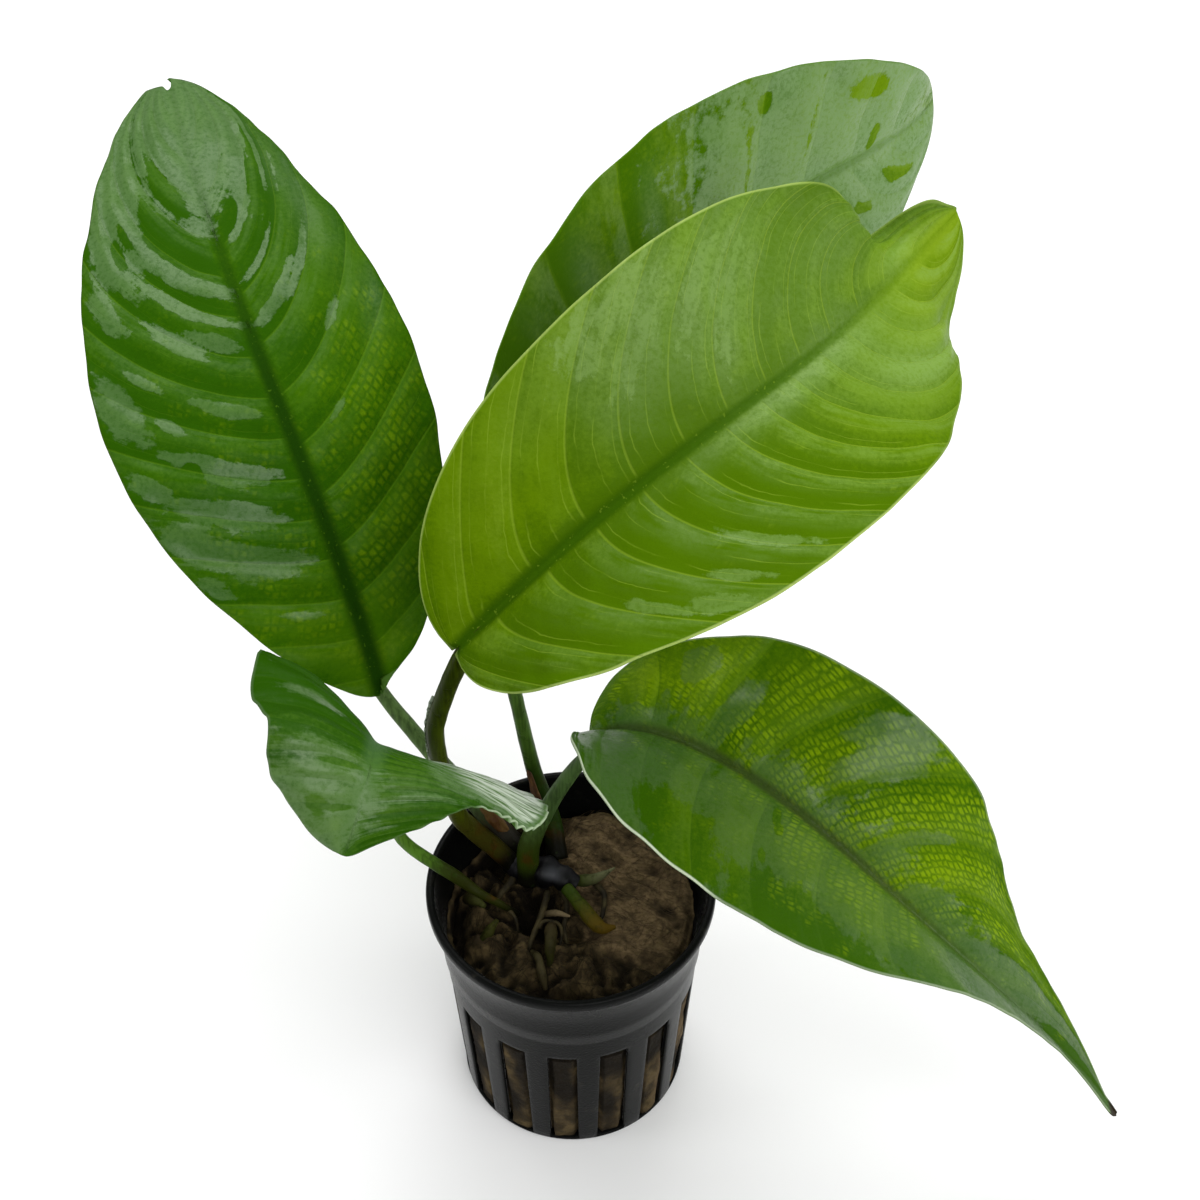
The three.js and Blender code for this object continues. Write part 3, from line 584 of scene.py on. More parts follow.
def add_fan(points, faces, start, count, tip, flip):
    """Closes the ring of points that begins at start, with triangles to a new point."""
    points.append(tip)
    last = len(points) - 1
    for k in range(count):
        a = start + k
        b = start + (k + 1) % count
        faces.append((b, a, last) if flip else (a, b, last))


def add_sheet(name, top, under, material, node=None):
    """A thin closed sheet from its upper and lower grids."""
    rows, columns = top.shape[:2]
    n = rows * columns
    faces = grid_faces(rows, columns) + grid_faces(rows, columns, start=n, flip=True)
    for i in range(rows - 1):
        left = i * columns
        right = left + columns - 1
        faces.append((left, left + columns, n + left + columns, n + left))
        faces.append((right, n + right, n + right + columns, right + columns))
    end = (rows - 1) * columns
    for j in range(columns - 1):
        faces.append((j, n + j, n + j + 1, j + 1))
        faces.append((end + j, end + j + 1, n + end + j + 1, n + end + j))
    points = np.concatenate([top.reshape(-1, 3), under.reshape(-1, 3)])
    return add_piece(name, points, faces, material, node)


# Curves and stems


def curve_between(a, b, c, d, f):
    """The smooth curve through a, b, c and d, at f from 0 at b to 1 at c."""
    return b + 0.5 * f * (c - a + f * (2 * a - 5 * b + 4 * c - d + f * (3 * (b - c) + d - a)))


def smooth_path(path, count):
    """Evenly spaced points on a smooth curve through the path."""
    points = np.array(path, float)
    padded = np.vstack([2 * points[0] - points[1], points, 2 * points[-1] - points[-2]])
    steps = np.linspace(0, 1, CURVE_STEPS, endpoint=False)
    dense = [curve_between(*padded[i:i + 4], f) for i in range(len(points) - 1) for f in steps]
    dense = np.array([*dense, points[-1]])
    run = np.concatenate([[0], np.cumsum(np.linalg.norm(np.diff(dense, axis=0), axis=1))])
    even = np.linspace(0, run[-1], count)
    return np.stack([np.interp(even, run, dense[:, k]) for k in range(3)], axis=1)


def path_frames(points):
    """Two crosswise directions at each point of a path, without twist."""
    tangents = unit(np.gradient(points, axis=0))
    start = np.array([0, 0, 1.0])
    if abs(tangents[0] @ start) > 0.9:
        start = np.array([0, 1.0, 0])
    first = unit(np.cross(tangents[0], start))
    firsts = []
    for tangent in tangents:
        first = unit(first - tangent * (first @ tangent))
        firsts.append(first)
    firsts = np.array(firsts)
    return firsts, np.cross(tangents, firsts)


def stem_grid(points, radii, sides=STEM_SIDES):
    """Rings of points around a path, and their outward directions. The radii are evenly spaced."""
    across, over = path_frames(points)
    places = np.linspace(0, 1, len(points))
    radius = np.interp(places, np.linspace(0, 1, len(radii)), radii)
    angle = np.linspace(0, 2 * math.pi, sides, endpoint=False)
    ring = np.cos(angle)[None, :, None] * across[:, None] + np.sin(angle)[None, :, None] * over[:, None]
    return points[:, None] + ring * radius[:, None, None], ring


def add_lumps(grid, ring, lumps, dips=0):
    """Rings pushed out by noise, less the dips."""
    return grid + ring * (lumps_at(grid, lumps) - dips)[..., None]


def add_stem(name, grid, material, node):
    """A closed stem from its rings, with a blunt cap at each end."""
    rows, sides = grid.shape[:2]
    points = list(grid.reshape(-1, 3))
    faces = grid_faces(rows, sides, closed=True)
    for row, nearby in ((0, 1), (rows - 1, rows - 2)):
        centre = grid[row].mean(axis=0)
        tip = centre + CAP_BULGE * (centre - grid[nearby].mean(axis=0))
        add_fan(points, faces, row * sides, sides, tip, flip=row == 0)
    piece = add_piece(name, points, faces, material, node)
    along = np.repeat(np.linspace(0, 1, rows), sides)
    add_value(piece, "along", np.concatenate([along, [0, 1]]))


# Leaf blades


def midrib_curve(control, t):
    """Points and unit directions of the midrib at each t."""
    points = [np.broadcast_to(np.array(p, float), t.shape + (3,)) for p in control]
    while len(points) > 1:
        if len(points) == 2:
            tangent = unit(points[1] - points[0])
        points = [a + (b - a) * t[..., None] for a, b in zip(points, points[1:])]
    return points[0], tangent


def half_width(widths, t):
    """Half-width at each t by a smooth curve through the stated widths."""
    full = np.array([-widths[0], 0, *widths, 0, -widths[-1]], float)
    s = np.arccos(np.clip(1 - 2 * t, -1, 1)) / math.pi * (len(widths) + 1)
    i = np.minimum(s.astype(int), len(widths))
    return np.maximum(curve_between(*(full[i + k] for k in range(4)), s - i), NARROWEST)


def blade_surface(leaf, t, u):
    """Points, upward normals and half-widths of a leaf at along t and across u."""
    mid, tangent = midrib_curve(leaf["midrib"], t)
    start, end = (np.array(f, float) for f in leaf["face"])
    side = unit(np.cross(tangent, unit(start + (end - start) * t[..., None])))
    up = np.cross(side, tangent)
    right = u > 0
    m = np.abs(u)
    left_width, right_width = (half_width(widths, t) for widths in leaf["widths"])
    width = np.where(right, right_width, left_width)
    low, high, turn = (np.where(right, b, a) for a, b in zip(*leaf["bend"]))
    angle = np.radians(low + (high - low) * t + turn * m / 2)
    lift = np.zeros_like(t)
    for way, at, spread, height in leaf.get("waves", []):
        lift += (np.sign(u) == way) * height * np.exp(-(((t - at) / spread) ** 2))
    lobe = np.where(right, leaf.get("lobe_right", leaf["lobe"]), leaf["lobe"])
    lobe = lobe * m ** 1.5 * np.exp(-t / LOBE_REACH)
    valley = leaf.get("valley", 0)
    rise = (np.hypot(m, valley) - valley) / (math.hypot(1, valley) - valley)
    sideways = (np.sign(u) * width * m * np.cos(angle))[..., None] * side
    upward = (width * rise * np.sin(angle) + lift * m * m)[..., None] * up
    points = mid + sideways + upward - lobe[..., None] * tangent
    normals = unit(np.cross(np.gradient(points, axis=1), np.gradient(points, axis=0)))
    return points, normals, width


def vein_starts(leaf, t, u):
    """Where on the midrib (0..1) the side vein through each point starts, and that vein's number."""
    m = np.abs(u)
    starts = np.zeros_like(t)
    numbers = np.zeros_like(t)
    for here, (count, first, sweep, growth, curve) in zip((u <= 0, u > 0), leaf["veins"]):
        reach = m ** curve
        start = (t - sweep * reach) / (1 + growth * reach)
        starts = np.where(here, start, starts)
        numbers = np.where(here, count * start + first, numbers)
    return starts, numbers


def distances(spot, s, u):
    """How far each point is from the middle of a patch, where 1 is the patch's edge."""
    across, along, half_u, half_s = spot[:4]
    return np.hypot((u - across) / half_u, (s - along) / half_s)


def hard_patches(spots, s, u):
    """From the patch's strength in the middle to half of it at the edge and 0 outside."""
    value = np.zeros_like(s)
    for spot in spots:
        strength = spot[4] if len(spot) > 4 else 1.0
        value = np.maximum(value, strength * np.clip(1.5 - distances(spot, s, u), 0, 1))
    return value


def soft_patches(spots, s, u):
    """The sum of soft spots, each as strong as its last number says."""
    return sum((spot[4] * np.exp(-(distances(spot, s, u) ** 2)) for spot in spots), np.zeros_like(s))


def rim_light_strength(leaf, t, u):
    """How strong the painted rim light along the margin is at each point."""
    value = np.zeros_like(t)
    for side, low, high, strength in leaf["rims"]:
        window = smooth(t, low - 0.02, low + 0.02) * smooth(t, high + 0.02, high - 0.02)
        value += (np.sign(u) == side) * strength * window
    return value


def frill_lift(leaf, t, u):
    """Small pleats along part of one margin."""
    if "frill" not in leaf:
        return np.zeros_like(t)
    side, low, high, height = leaf["frill"]
    window = smooth(t, low, low + 0.06) * smooth(t, high, high - 0.06)
    outer = smooth(np.abs(u), 0.7, 1) * (np.sign(u) == side)
    pleat = math.pi * FRILL_PLEATS * (t + 0.008 * np.sin(31 * t))
    uneven = 0.8 + 0.3 * np.sin(47 * t)
    return height * uneven * (1.3 * np.abs(np.sin(pleat)) - 0.65) * window * outer


def leaf_relief(leaf, points, t, u, width, veins):
    """Height above the smooth surface: quilting, midrib furrow, slow swells and a rippled margin."""
    m = np.abs(u)
    across = m * width
    left_quilt, right_quilt = leaf["quilt"]
    quilt = np.where(u > 0, right_quilt, left_quilt)
    room = smooth(across, 0.5, 5) * smooth(width * (1 - m), 0.2, 4) * smooth(t, 0, 0.06)
    between = veins - np.floor(veins)
    bulge = np.sin(math.pi * between ** 1.6) ** 0.8
    height = quilt * (bulge - 0.55) * room * smooth(width, 3, 14)
    furrow = FURROW_DEEP * np.exp(-((across / FURROW_WIDE) ** 2)) * smooth(t, 0, 0.05)
    furrow *= 1 - smooth(t, 0.8, 1)
    height += lumps_at(points, LEAF_SWELLS) * smooth(across, 0, 6) * smooth(width, 2, 10)
    ripple = 0.2 * np.sin(2 * math.pi * veins + 1) * smooth(m, 0.8, 1) * smooth(width, 4, 12)
    return height - furrow + ripple + frill_lift(leaf, t, u)


def leaf_grid(leaf):
    """Across and along values of a leaf's points, closer at the margins, with the tip bitten off."""
    column = np.linspace(-1, 1, LEAF_COLUMNS + 1)
    across = np.sign(column) * np.abs(column) ** MARGIN_CROWDING
    even = np.linspace(0, 1, LEAF_ROWS + 1)
    along = 0.6 * even + 0.4 * (1 - np.cos(math.pi * even)) / 2
    u, t = np.meshgrid(across, along)
    flat, notch = leaf.get("tip_cut", (0, 0))
    bitten = flat + notch * np.exp(-(((u + 0.12) / 0.12) ** 2))
    return u, t - bitten * smooth(u, 0.1, -0.02) * smooth(t, 0.9, 1)


def build_leaf(leaf):
    u, t = leaf_grid(leaf)
    points, normals, width = blade_surface(leaf, t, u)
    starts, veins = vein_starts(leaf, t, u)
    top = points + normals * leaf_relief(leaf, points, t, u, width, veins)[..., None]
    keel = KEEL_DEEP * (1 - t) * np.exp(-((u * width / KEEL_WIDE) ** 2))
    thick = LEAF_THICK * (1 - MARGIN_THINNING * np.abs(u) ** 8) + keel
    name = "leaf_" + leaf["name"]
    paint = leaf_paint(name + "_skin", LEAF_LOOKS[leaf["name"]])
    piece = add_sheet(name, top, top - normals * thick[..., None], paint, "blade_" + leaf["name"])
    values = {
        "vein": veins,
        "across": u * width,
        "margin": (1 - np.abs(u)) * width,
        "along": t,
        "film": hard_patches(leaf["film"], starts, u) - hard_patches(leaf["dry"], starts, u),
        "glow": soft_patches(leaf["glow"], starts, u),
        "cells": soft_patches(leaf["cells"], starts, u),
        "tone": soft_patches(leaf["tones"], starts, u),
        "rim": rim_light_strength(leaf, t, u),
        "midrib": 1 - np.abs(u * width) / np.interp(t, (0, 0.5, 1), leaf["midrib_mm"]),
        "midrib_dark": np.interp(t, (0.0, 0.5, 0.85), leaf["midrib_dark"]),
    }
    for value_name, value in values.items():
        add_value(piece, value_name, np.tile(value.ravel(), 2))
    add_value(piece, "under", np.repeat([0.0, 1.0], t.size))


# Materials


def tint(colour, amount):
    return tuple(amount * c for c in colour)


class Paint:
    """Builds one material. Each call adds nodes and gives back their output."""

    def __init__(self, name):
        self.material = bpy.data.materials.new(name)
        self.material.use_nodes = True
        self.tree = self.material.node_tree

    def put(self, socket, value):
        if isinstance(value, bpy.types.NodeSocket):
            self.tree.links.new(value, socket)
        elif isinstance(value, tuple) and len(value) == 3 and len(socket.default_value) == 4:
            socket.default_value = (*value, 1)
        else:
            socket.default_value = value

    def node(self, kind, output, inputs, **settings):
        made = self.tree.nodes.new("ShaderNode" + kind)
        for key, value in settings.items():
            setattr(made, key, value)
        for key, value in inputs.items():
            self.put(made.inputs[key], value)
        return made.outputs[output]

    def value(self, name):
        return self.node("Attribute", "Fac", {}, attribute_name=name)

    def place(self):
        return self.node("TexCoord", "Object", {})

    def vector(self, x, y, z):
        return self.node("CombineXYZ", 0, {"X": x, "Y": y, "Z": z})

    def math(self, kind, a, b=0.0, c=0.0):
        return self.node("Math", 0, {0: a, 1: b, 2: c}, operation=kind)

    def add(self, total, *terms):
        for term in terms:
            total = self.math("ADD", total, term)
        return total

    def times(self, product, *factors):
        for factor in factors:
            product = self.math("MULTIPLY", product, factor)
        return product

    def swing(self, noise_value, amount):
        """Noise as a value that swings round zero."""
        return self.times(self.add(noise_value, -0.5), amount)

    def step(self, value, low, high):
        inputs = {"Value": value, "From Min": low, "From Max": high}
        return self.node("MapRange", 0, inputs, interpolation_type="SMOOTHSTEP")

    def noise(self, scale, detail=3.0, vector=None, roughness=0.55):
        """Noise at one scale, or at a scale of its own along each axis."""
        vector = vector or self.place()
        if isinstance(scale, tuple):
            vector = self.node("Mapping", 0, {"Vector": vector, "Scale": scale})
            scale = 1.0
        inputs = {"Vector": vector, "Scale": scale, "Detail": detail, "Roughness": roughness}
        return self.node("TexNoise", "Fac", inputs)

    def blend(self, amount, a, b):
        return self.node("Mix", 2, {0: amount, 6: a, 7: b}, data_type="RGBA")

    def stack(self, colour, layers):
        """A colour with others laid over it in turn, each by its own amount."""
        for amount, over in layers:
            colour = self.blend(amount, colour, over)
        return colour

    def finish(self, colour, rough, specular, relief=None, depth=0.0, **more):
        """Sets the shader. rough is a roughness, the value it follows and how far it follows it."""
        base, follows, amount = rough
        inputs = {"Base Color": colour, "Roughness": self.add(base, self.times(follows, amount))}
        inputs["Specular IOR Level"] = specular
        if relief is not None:
            inputs["Normal"] = self.node("Bump", 0, {"Height": relief, "Distance": depth})
        for key, value in {**inputs, **more}.items():
            self.put(self.tree.nodes["Principled BSDF"].inputs[key.replace("_", " ")], value)
        return self.material


class LeafPaint(Paint):
    """The material of one leaf, with the values that its layers share."""

    def __init__(self, name, look):
        super().__init__(name)
        self.look = look
        self.vein = self.value("vein")
        self.across = self.value("across")
        self.along = self.value("along")
        self.under = self.value("under")
        self.upper = self.math("SUBTRACT", 1.0, self.under)
        self.right = self.step(self.across, -0.3, 0.3)
        self.clear = self.step(self.math("ABSOLUTE", self.across), 0.5, 2.2)
        self.between = self.math("FRACT", self.vein)
        self.streak = self.vein_noise(5.0, 5.0, 0.14, 9.0)
        self.ragged = self.noise(330.0, 6.0, roughness=0.7)
        self.grain = self.noise(1300.0, 4.0, roughness=0.7)

    def vein_noise(self, detail, per_vein, per_mm, sides_apart):
        """Noise drawn out along the side veins, and not the same left and right of the midrib."""
        x = self.times(self.vein, per_vein)
        y = self.times(self.across, per_mm)
        return self.noise(1.0, detail, self.vector(x, y, self.times(self.right, sides_apart)))

    def vein_lines(self):
        """The side veins, at whole numbers, and the finer lines between them."""
        main = self.step(self.math("PINGPONG", self.vein, 0.5), 0.035, 0.008)
        drift = self.vein_noise(3.0, 1.5, 0.12, 7.0)
        finer = self.math("MULTIPLY_ADD", self.vein, 3.0, self.times(drift, 0.8))
        finer = self.step(self.math("PINGPONG", finer, 0.5), 0.055, 0.008)
        return self.times(main, self.clear), self.times(finer, self.clear, self.step(drift, 0.4, 0.65))

    def light_cells(self):
        """Rows of small light cells between the veins."""
        rows, per_mm = self.look["net"]
        outward = self.math("MULTIPLY_ADD", self.along, CELL_SLANT, self.math("ABSOLUTE", self.across))
        row = self.math("MULTIPLY_ADD", self.vein, rows, self.swing(self.ragged, 0.7))
        net = self.vector(row, self.times(outward, per_mm), self.times(self.right, 5.0))
        inputs = {"Vector": net, "Scale": 1.0, "Randomness": 0.42}
        edge = self.node("TexVoronoi", "Distance", inputs, feature="DISTANCE_TO_EDGE")
        some = self.add(self.swing(self.noise(300.0, 4.0), 3.0), self.value("cells"))
        middle = self.times(self.step(self.between, 0.05, 0.4), self.step(self.between, 1.0, 0.75))
        middle = self.add(0.35, self.times(middle, 0.65))
        cells = self.times(self.step(edge, 0.02, 0.34), self.step(some, 0.2, 1.3), middle)
        return self.times(cells, self.upper, self.add(0.5, self.grain))

    def gloss(self):
        """Where the film is wet, with ragged edges, and the sheen of film, bands and glow, which sets how
        shiny the leaf is and is also painted into the colour.
        """
        blur = self.look["blur"]
        wander = self.add(self.swing(self.ragged, 1.5), self.swing(self.streak, 1.1))
        wet = self.step(self.add(self.value("film"), wander), 0.51 - blur, 0.51 + blur)
        left, right = self.look["bands"]
        band = self.times(self.step(self.between, 0.25, 0.85), self.step(self.between, 1.0, 0.97))
        band = self.times(band, self.add(left, self.times(self.right, right - left)))
        band = self.times(band, self.step(self.streak, 0.3, 0.6), self.clear)
        sheen = self.math("MAXIMUM", self.math("MAXIMUM", band, wet), self.value("glow"))
        sheen_mottle = self.times(self.step(self.grain, 0.3, 0.62), 0.55)
        sheen_mottle = self.add(0.3, sheen_mottle, self.times(self.streak, 0.5))
        return wet, self.node("Clamp", 0, {0: self.times(sheen, self.upper, sheen_mottle)})

    def film_highlight(self, wet):
        """A painted white highlight on the strongest parts of the film."""
        bright = self.times(self.step(self.value("film"), 1.1, 1.9), wet, self.step(self.streak, 0.4, 0.58))
        return self.times(bright, self.step(self.value("margin"), 0.5, 1.6), self.upper)

    def level(self):
        """How light the green is, with painted shade on the tip side of each vein."""
        cloud = self.times(self.noise(70.0, 5.0, roughness=0.6), 0.9)
        level = self.add(cloud, self.swing(self.streak, 0.5), self.value("tone"), self.swing(self.grain, 0.8))
        # Painted shade just past each vein, on its tip side.
        return self.add(level, self.times(self.step(self.between, 0.75, 0.15), self.clear, -0.3))

    def browned(self):
        """1 on the withered tip, with a ragged edge."""
        withered = self.add(self.along, self.swing(self.ragged, 0.02))
        return self.step(withered, self.look["brown_from"], self.look["brown_from"] + 0.015)


def leaf_paint(name, look):
    p = LeafPaint(name, look)
    main_line, fine_line = p.vein_lines()
    cells = p.light_cells()
    wet, sheen = p.gloss()
    level = p.level()
    low_painted_sheen, high_painted_sheen = look["painted_sheen"]
    painted_sheen = p.math("MULTIPLY_ADD", p.along, high_painted_sheen - low_painted_sheen, low_painted_sheen)
    shown = p.times(main_line, look["lines"], p.math("SUBTRACT", 1.0, p.times(sheen, 0.6)))
    midrib = p.times(p.step(p.value("midrib"), -0.45, 0.75), p.value("midrib_dark"), p.upper)
    speck = p.step(p.noise(1500.0, 1.0), 0.66, 0.74)
    layers = [
        (p.step(level, 0.15, 0.85), look["mid"]),
        (p.times(p.step(level, 0.75, 1.6), 0.8), look["light"]),
        (p.times(cells, 0.62), look["light"]),
        (p.times(fine_line, look["fine"]), look["vein"]),
        # Painted sheen: the gloss of the film, bands and glow laid into the colour.
        (p.times(sheen, painted_sheen), look["sheen"]),
        # Painted highlight on the strongest film.
        (p.times(p.film_highlight(wet), 0.8), look["white"]),
        (shown, look["vein"]),
        # The dark midrib: partly its own colour, partly painted shade of its furrow.
        (p.times(midrib, 0.9), look["midrib"]),
        (p.times(midrib, speck, 0.35), look["vein"]),
        # Painted rim light along the margin, where light shines through the thin edge.
        (p.times(p.step(p.value("margin"), 0.45, 0.1), p.value("rim")), look["rim"]),
        (p.times(p.under, 0.6), p.blend(p.noise(90.0), look["mid"], look["sheen"])),
    ]
    if "brown_from" in look:
        layers.append((p.browned(), WITHERED))
    relief = p.add(p.times(fine_line, -0.15), p.times(cells, 0.25), p.times(p.grain, 0.5))
    relief = p.add(relief, p.times(main_line, -look["lines"]), p.times(p.noise(260.0, 3.0), 0.8))
    coat = p.math("MAXIMUM", p.math("SUBTRACT", sheen, midrib), 0.0)
    return p.finish(
        p.stack(look["dark"], layers), (0.62, sheen, -0.25), 0.012,
        p.add(relief, p.times(wet, 0.3)), 0.0002,
        Coat_Weight=p.times(coat, look["gloss"]), Coat_Roughness=0.26,
    )


def stalk_paint(name, stalk):
    """Streaked green, darker or redder toward the foot, with rusty patches and a near-black end that is
    painted shade where the stalk goes into the crown.
    """
    p = Paint(name)
    along = p.value("along")
    streak = p.noise((1800.0, 1800.0, 120.0), 4.0)
    cloud = p.noise(160.0, 4.0)
    speck = p.step(p.noise(700.0, 2.0), 0.62, 0.7)
    rusty = p.times(p.step(p.noise(240.0, 3.0), 0.52, 0.68), p.step(along, 0.2, 0.08))
    green = stalk["colour"]
    foot_from = stalk.get("foot_from", 0.32)
    layers = [
        (p.step(p.add(p.times(streak, 0.6), p.times(cloud, 0.4)), 0.35, 0.65), tint(green, 1.45)),
        (p.step(p.add(along, p.times(cloud, 0.1)), foot_from, foot_from - 0.18), stalk["foot"]),
        (p.times(rusty, 0.7), RUST),
        # Painted shade at the end in the crown.
        (p.step(p.add(along, p.times(cloud, 0.05)), 0.1, 0.045), STALK_END_SHADE),
        (p.times(speck, 0.35), tint(green, 0.4)),
    ]
    shade = p.stack(tint(green, 0.6), layers)
    return p.finish(shade, (0.38, streak, 0.2), 0.06, p.add(streak, p.times(speck, -0.4)), 0.00012)


def growth_paint(name, colours):
    """One colour at the foot and one at the tip, with dark streaks."""
    p = Paint(name)
    streak = p.noise((900.0, 900.0, 500.0), 3.0)
    layers = [
        (p.step(p.value("along"), 0.1, 0.95), colours[1]),
        (p.times(p.step(streak, 0.5, 0.7), 0.6), tint(colours[0], 0.35)),
    ]
    return p.finish(p.stack(colours[0], layers), (0.4, streak, 0.25), 0.05, streak, 0.0002)


def rhizome_paint():
    """Near-black wet skin with a painted grey highlight on one knob; the near-black is partly its own
    colour and partly painted shade of the crown.
    """
    p = Paint("rhizome_wet_skin")
    lumps = p.noise(320.0, 2.0)
    knob = {0: p.place(), 1: tint(RHIZOME_KNOB, MM)}
    away = p.node("VectorMath", "Value", knob, operation="DISTANCE")
    # Painted highlight on the knob.
    highlight = p.step(p.add(away, p.times(lumps, 0.0012)), 0.0032, 0.0012)
    layers = [
        (p.step(lumps, 0.35, 0.7), RHIZOME_LIGHT),
        (p.times(highlight, 0.8), RHIZOME_HIGHLIGHT),
    ]
    shade = p.stack(RHIZOME_DARK, layers)
    return p.finish(shade, (0.36, lumps, 0.2), 0.14, lumps, 0.00005)


def two_tone_paint(name, colours, pattern, edges, rough, specular, depth):
    """Two colours that follow one pattern of noise, as the roughness and the bump do."""
    p = Paint(name)
    patch = p.noise(*pattern)
    shade = p.blend(p.step(patch, *edges), *colours)
    base, amount = rough
    return p.finish(shade, (base, patch, amount), specular, patch, depth)


def wool_paint(name, dark, light, rooty):
    """Wet mineral wool. The chunk value is 1 on the clean combed block and 0 on the rooty part.
    A low clump_shade value darkens the wool with painted shade in the creases between clumps, in
    the hollows and between the lumps in the slots; in the slots it is also darker toward the top.
    """
    p = Paint(name)
    fibre = p.noise((900.0, 1300.0, 500.0), 6.0, roughness=0.7)
    lump = p.noise(230.0, 3.0)
    moss = p.blend(p.step(p.noise(330.0, 4.0), 0.4, 0.65), tint(rooty, 0.35), rooty)
    layers = [
        (p.step(fibre, 0.3, 0.7), light),
        (p.step(p.value("chunk"), 0.65, 0.2), moss),
        (p.times(p.step(lump, 0.52, 0.34), 0.6), tint(dark, 0.4)),
        # Painted shade in the creases and hollows, where the clump value is low.
        (p.times(p.step(p.value("clump_shade"), 0.7, 0.15), 0.95), tint(dark, 0.08)),
    ]
    return p.finish(p.stack(dark, layers), (0.8, lump, 0.15), 0.12, p.add(fibre, lump), 0.0008)


def pot_paint():
    """Black moulded plastic with a little dried dirt."""
    p = Paint("pot_moulded_plastic")
    cloud = p.noise(90.0, 4.0)
    dirt = p.step(p.noise((260.0, 260.0, 150.0), 4.0), 0.6, 0.75)
    layers = [(cloud, POT_LIGHT), (p.times(dirt, 0.3), POT_DIRT)]
    return p.finish(
        p.stack(POT_DARK, layers), (0.21, cloud, 0.12), 0.05,
        p.noise(2600.0, 2.0), 0.00006, Sheen_Weight=0.08, Sheen_Roughness=0.17,
    )


def floor_paint():
    p = Paint("floor_white")
    cloud = p.noise(6.0, 2.0)
    return p.finish(p.blend(cloud, *FLOOR_COLOURS), (0.85, cloud, 0.05), 0.1)


# Stalks, crown and sheaths


def build_stalk(leaf, stalk):
    """A stalk from the rhizome to the leaf, running on under the leaf as the root of its midrib."""
    t = np.linspace(0.02, 0.3, 8)
    mid, _ = midrib_curve(leaf["midrib"], t)
    beside = np.tile([-0.05, 0, 0.05], (len(t), 1))
    _, normals, _ = blade_surface(leaf, np.stack([t, t, t], 1), beside)
    last_radius = stalk["radii"][-1]
    tail = [last_radius * f for f in KEEL_TAPER]
    sunk = np.interp(t, t[1::2], tail) + KEEL_COVER
    keel = (mid - normals[:, 1] * sunk[:, None])[1::2]
    base = np.array(stalk["path"][-1]) - normals[0, 1] * (last_radius + STALK_UNDER)
    path = smooth_path([*stalk["path"][:-1], base, *keel], 120)
    ways = [*stalk["path"], *keel]
    places = np.cumsum([0, *(np.linalg.norm(np.subtract(a, b)) for a, b in zip(ways, ways[1:]))])
    radii = np.interp(np.linspace(0, places[-1], 60), places, [*stalk["radii"], *tail])
    grid = add_lumps(*stem_grid(path, radii), STALK_LUMPS)
    name = "stem_" + leaf["name"]
    add_stem(name, grid, stalk_paint(name + "_skin", stalk), "stalk_" + leaf["name"])


def build_growth(growth):
    grid = add_lumps(*stem_grid(smooth_path(growth["path"], 40), growth["radii"]), GROWTH_LUMPS)
    add_stem(growth["name"], grid, growth_paint(growth["name"] + "_skin", growth["colours"]), growth["node"])


def build_rhizome():
    rows = 110
    grid, ring = stem_grid(smooth_path(RHIZOME_PATH, rows), RHIZOME_RADII, 48)
    scars = RHIZOME_SCAR_DEEP * np.abs(np.sin(np.linspace(0, RHIZOME_SCARS * math.pi, rows)))[:, None]
    grid = add_lumps(grid, ring, RHIZOME_LUMPS, scars)
    add_stem("rhizome_knobbly", grid, rhizome_paint(), "rhizome")


def build_sheath(sheath):
    shape = {
        "midrib": sheath["midrib"],
        "face": [sheath["face"]] * 2,
        "widths": [sheath["widths"]] * 2,
        "bend": [SHEATH_CURL] * 2,
        "lobe": 0,
    }
    u, t = np.meshgrid(np.linspace(-1, 1, 29), np.linspace(0, 1, 49))
    points, normals, _ = blade_surface(shape, t, u)
    crumple = lumps_at(points, SHEATH_CRUMPLES) + SHEATH_PLEAT * np.sin(9 * u)
    top = points + normals * crumple[..., None]
    name = sheath["name"]
    along_fibres = ((900.0, 900.0, 220.0), 4.0)
    paint = two_tone_paint(
        name + "_paper", sheath["colours"], along_fibres, (0.35, 0.68), (0.55, 0.3), 0.3, 0.0003,
    )
    add_sheet(name, top, top - normals * SHEATH_THICK, paint, sheath["node"])


def build_thin_roots():
    points = []
    faces = []
    sides = 10
    rows = 30
    taper = np.array([1, 1.1, 0.9, 0.5])
    for path, radius in THIN_ROOTS:
        grid = add_lumps(*stem_grid(smooth_path(path, rows), radius * taper, sides), ROOT_LUMPS)
        start = len(points)
        last = start + sides * (rows - 1)
        faces += grid_faces(rows, sides, start=start, closed=True)
        faces.append(tuple(range(start, start + sides))[::-1])
        faces.append(tuple(range(last, last + sides)))
        points += list(grid.reshape(-1, 3))
    pattern = (380.0, 4.0)
    paint = two_tone_paint("thin_root_skin", ROOT_COLOURS, pattern, (0.35, 0.7), (0.5, 0.3), 0.1, 0.0003)
    add_piece("thin_roots", points, faces, paint)


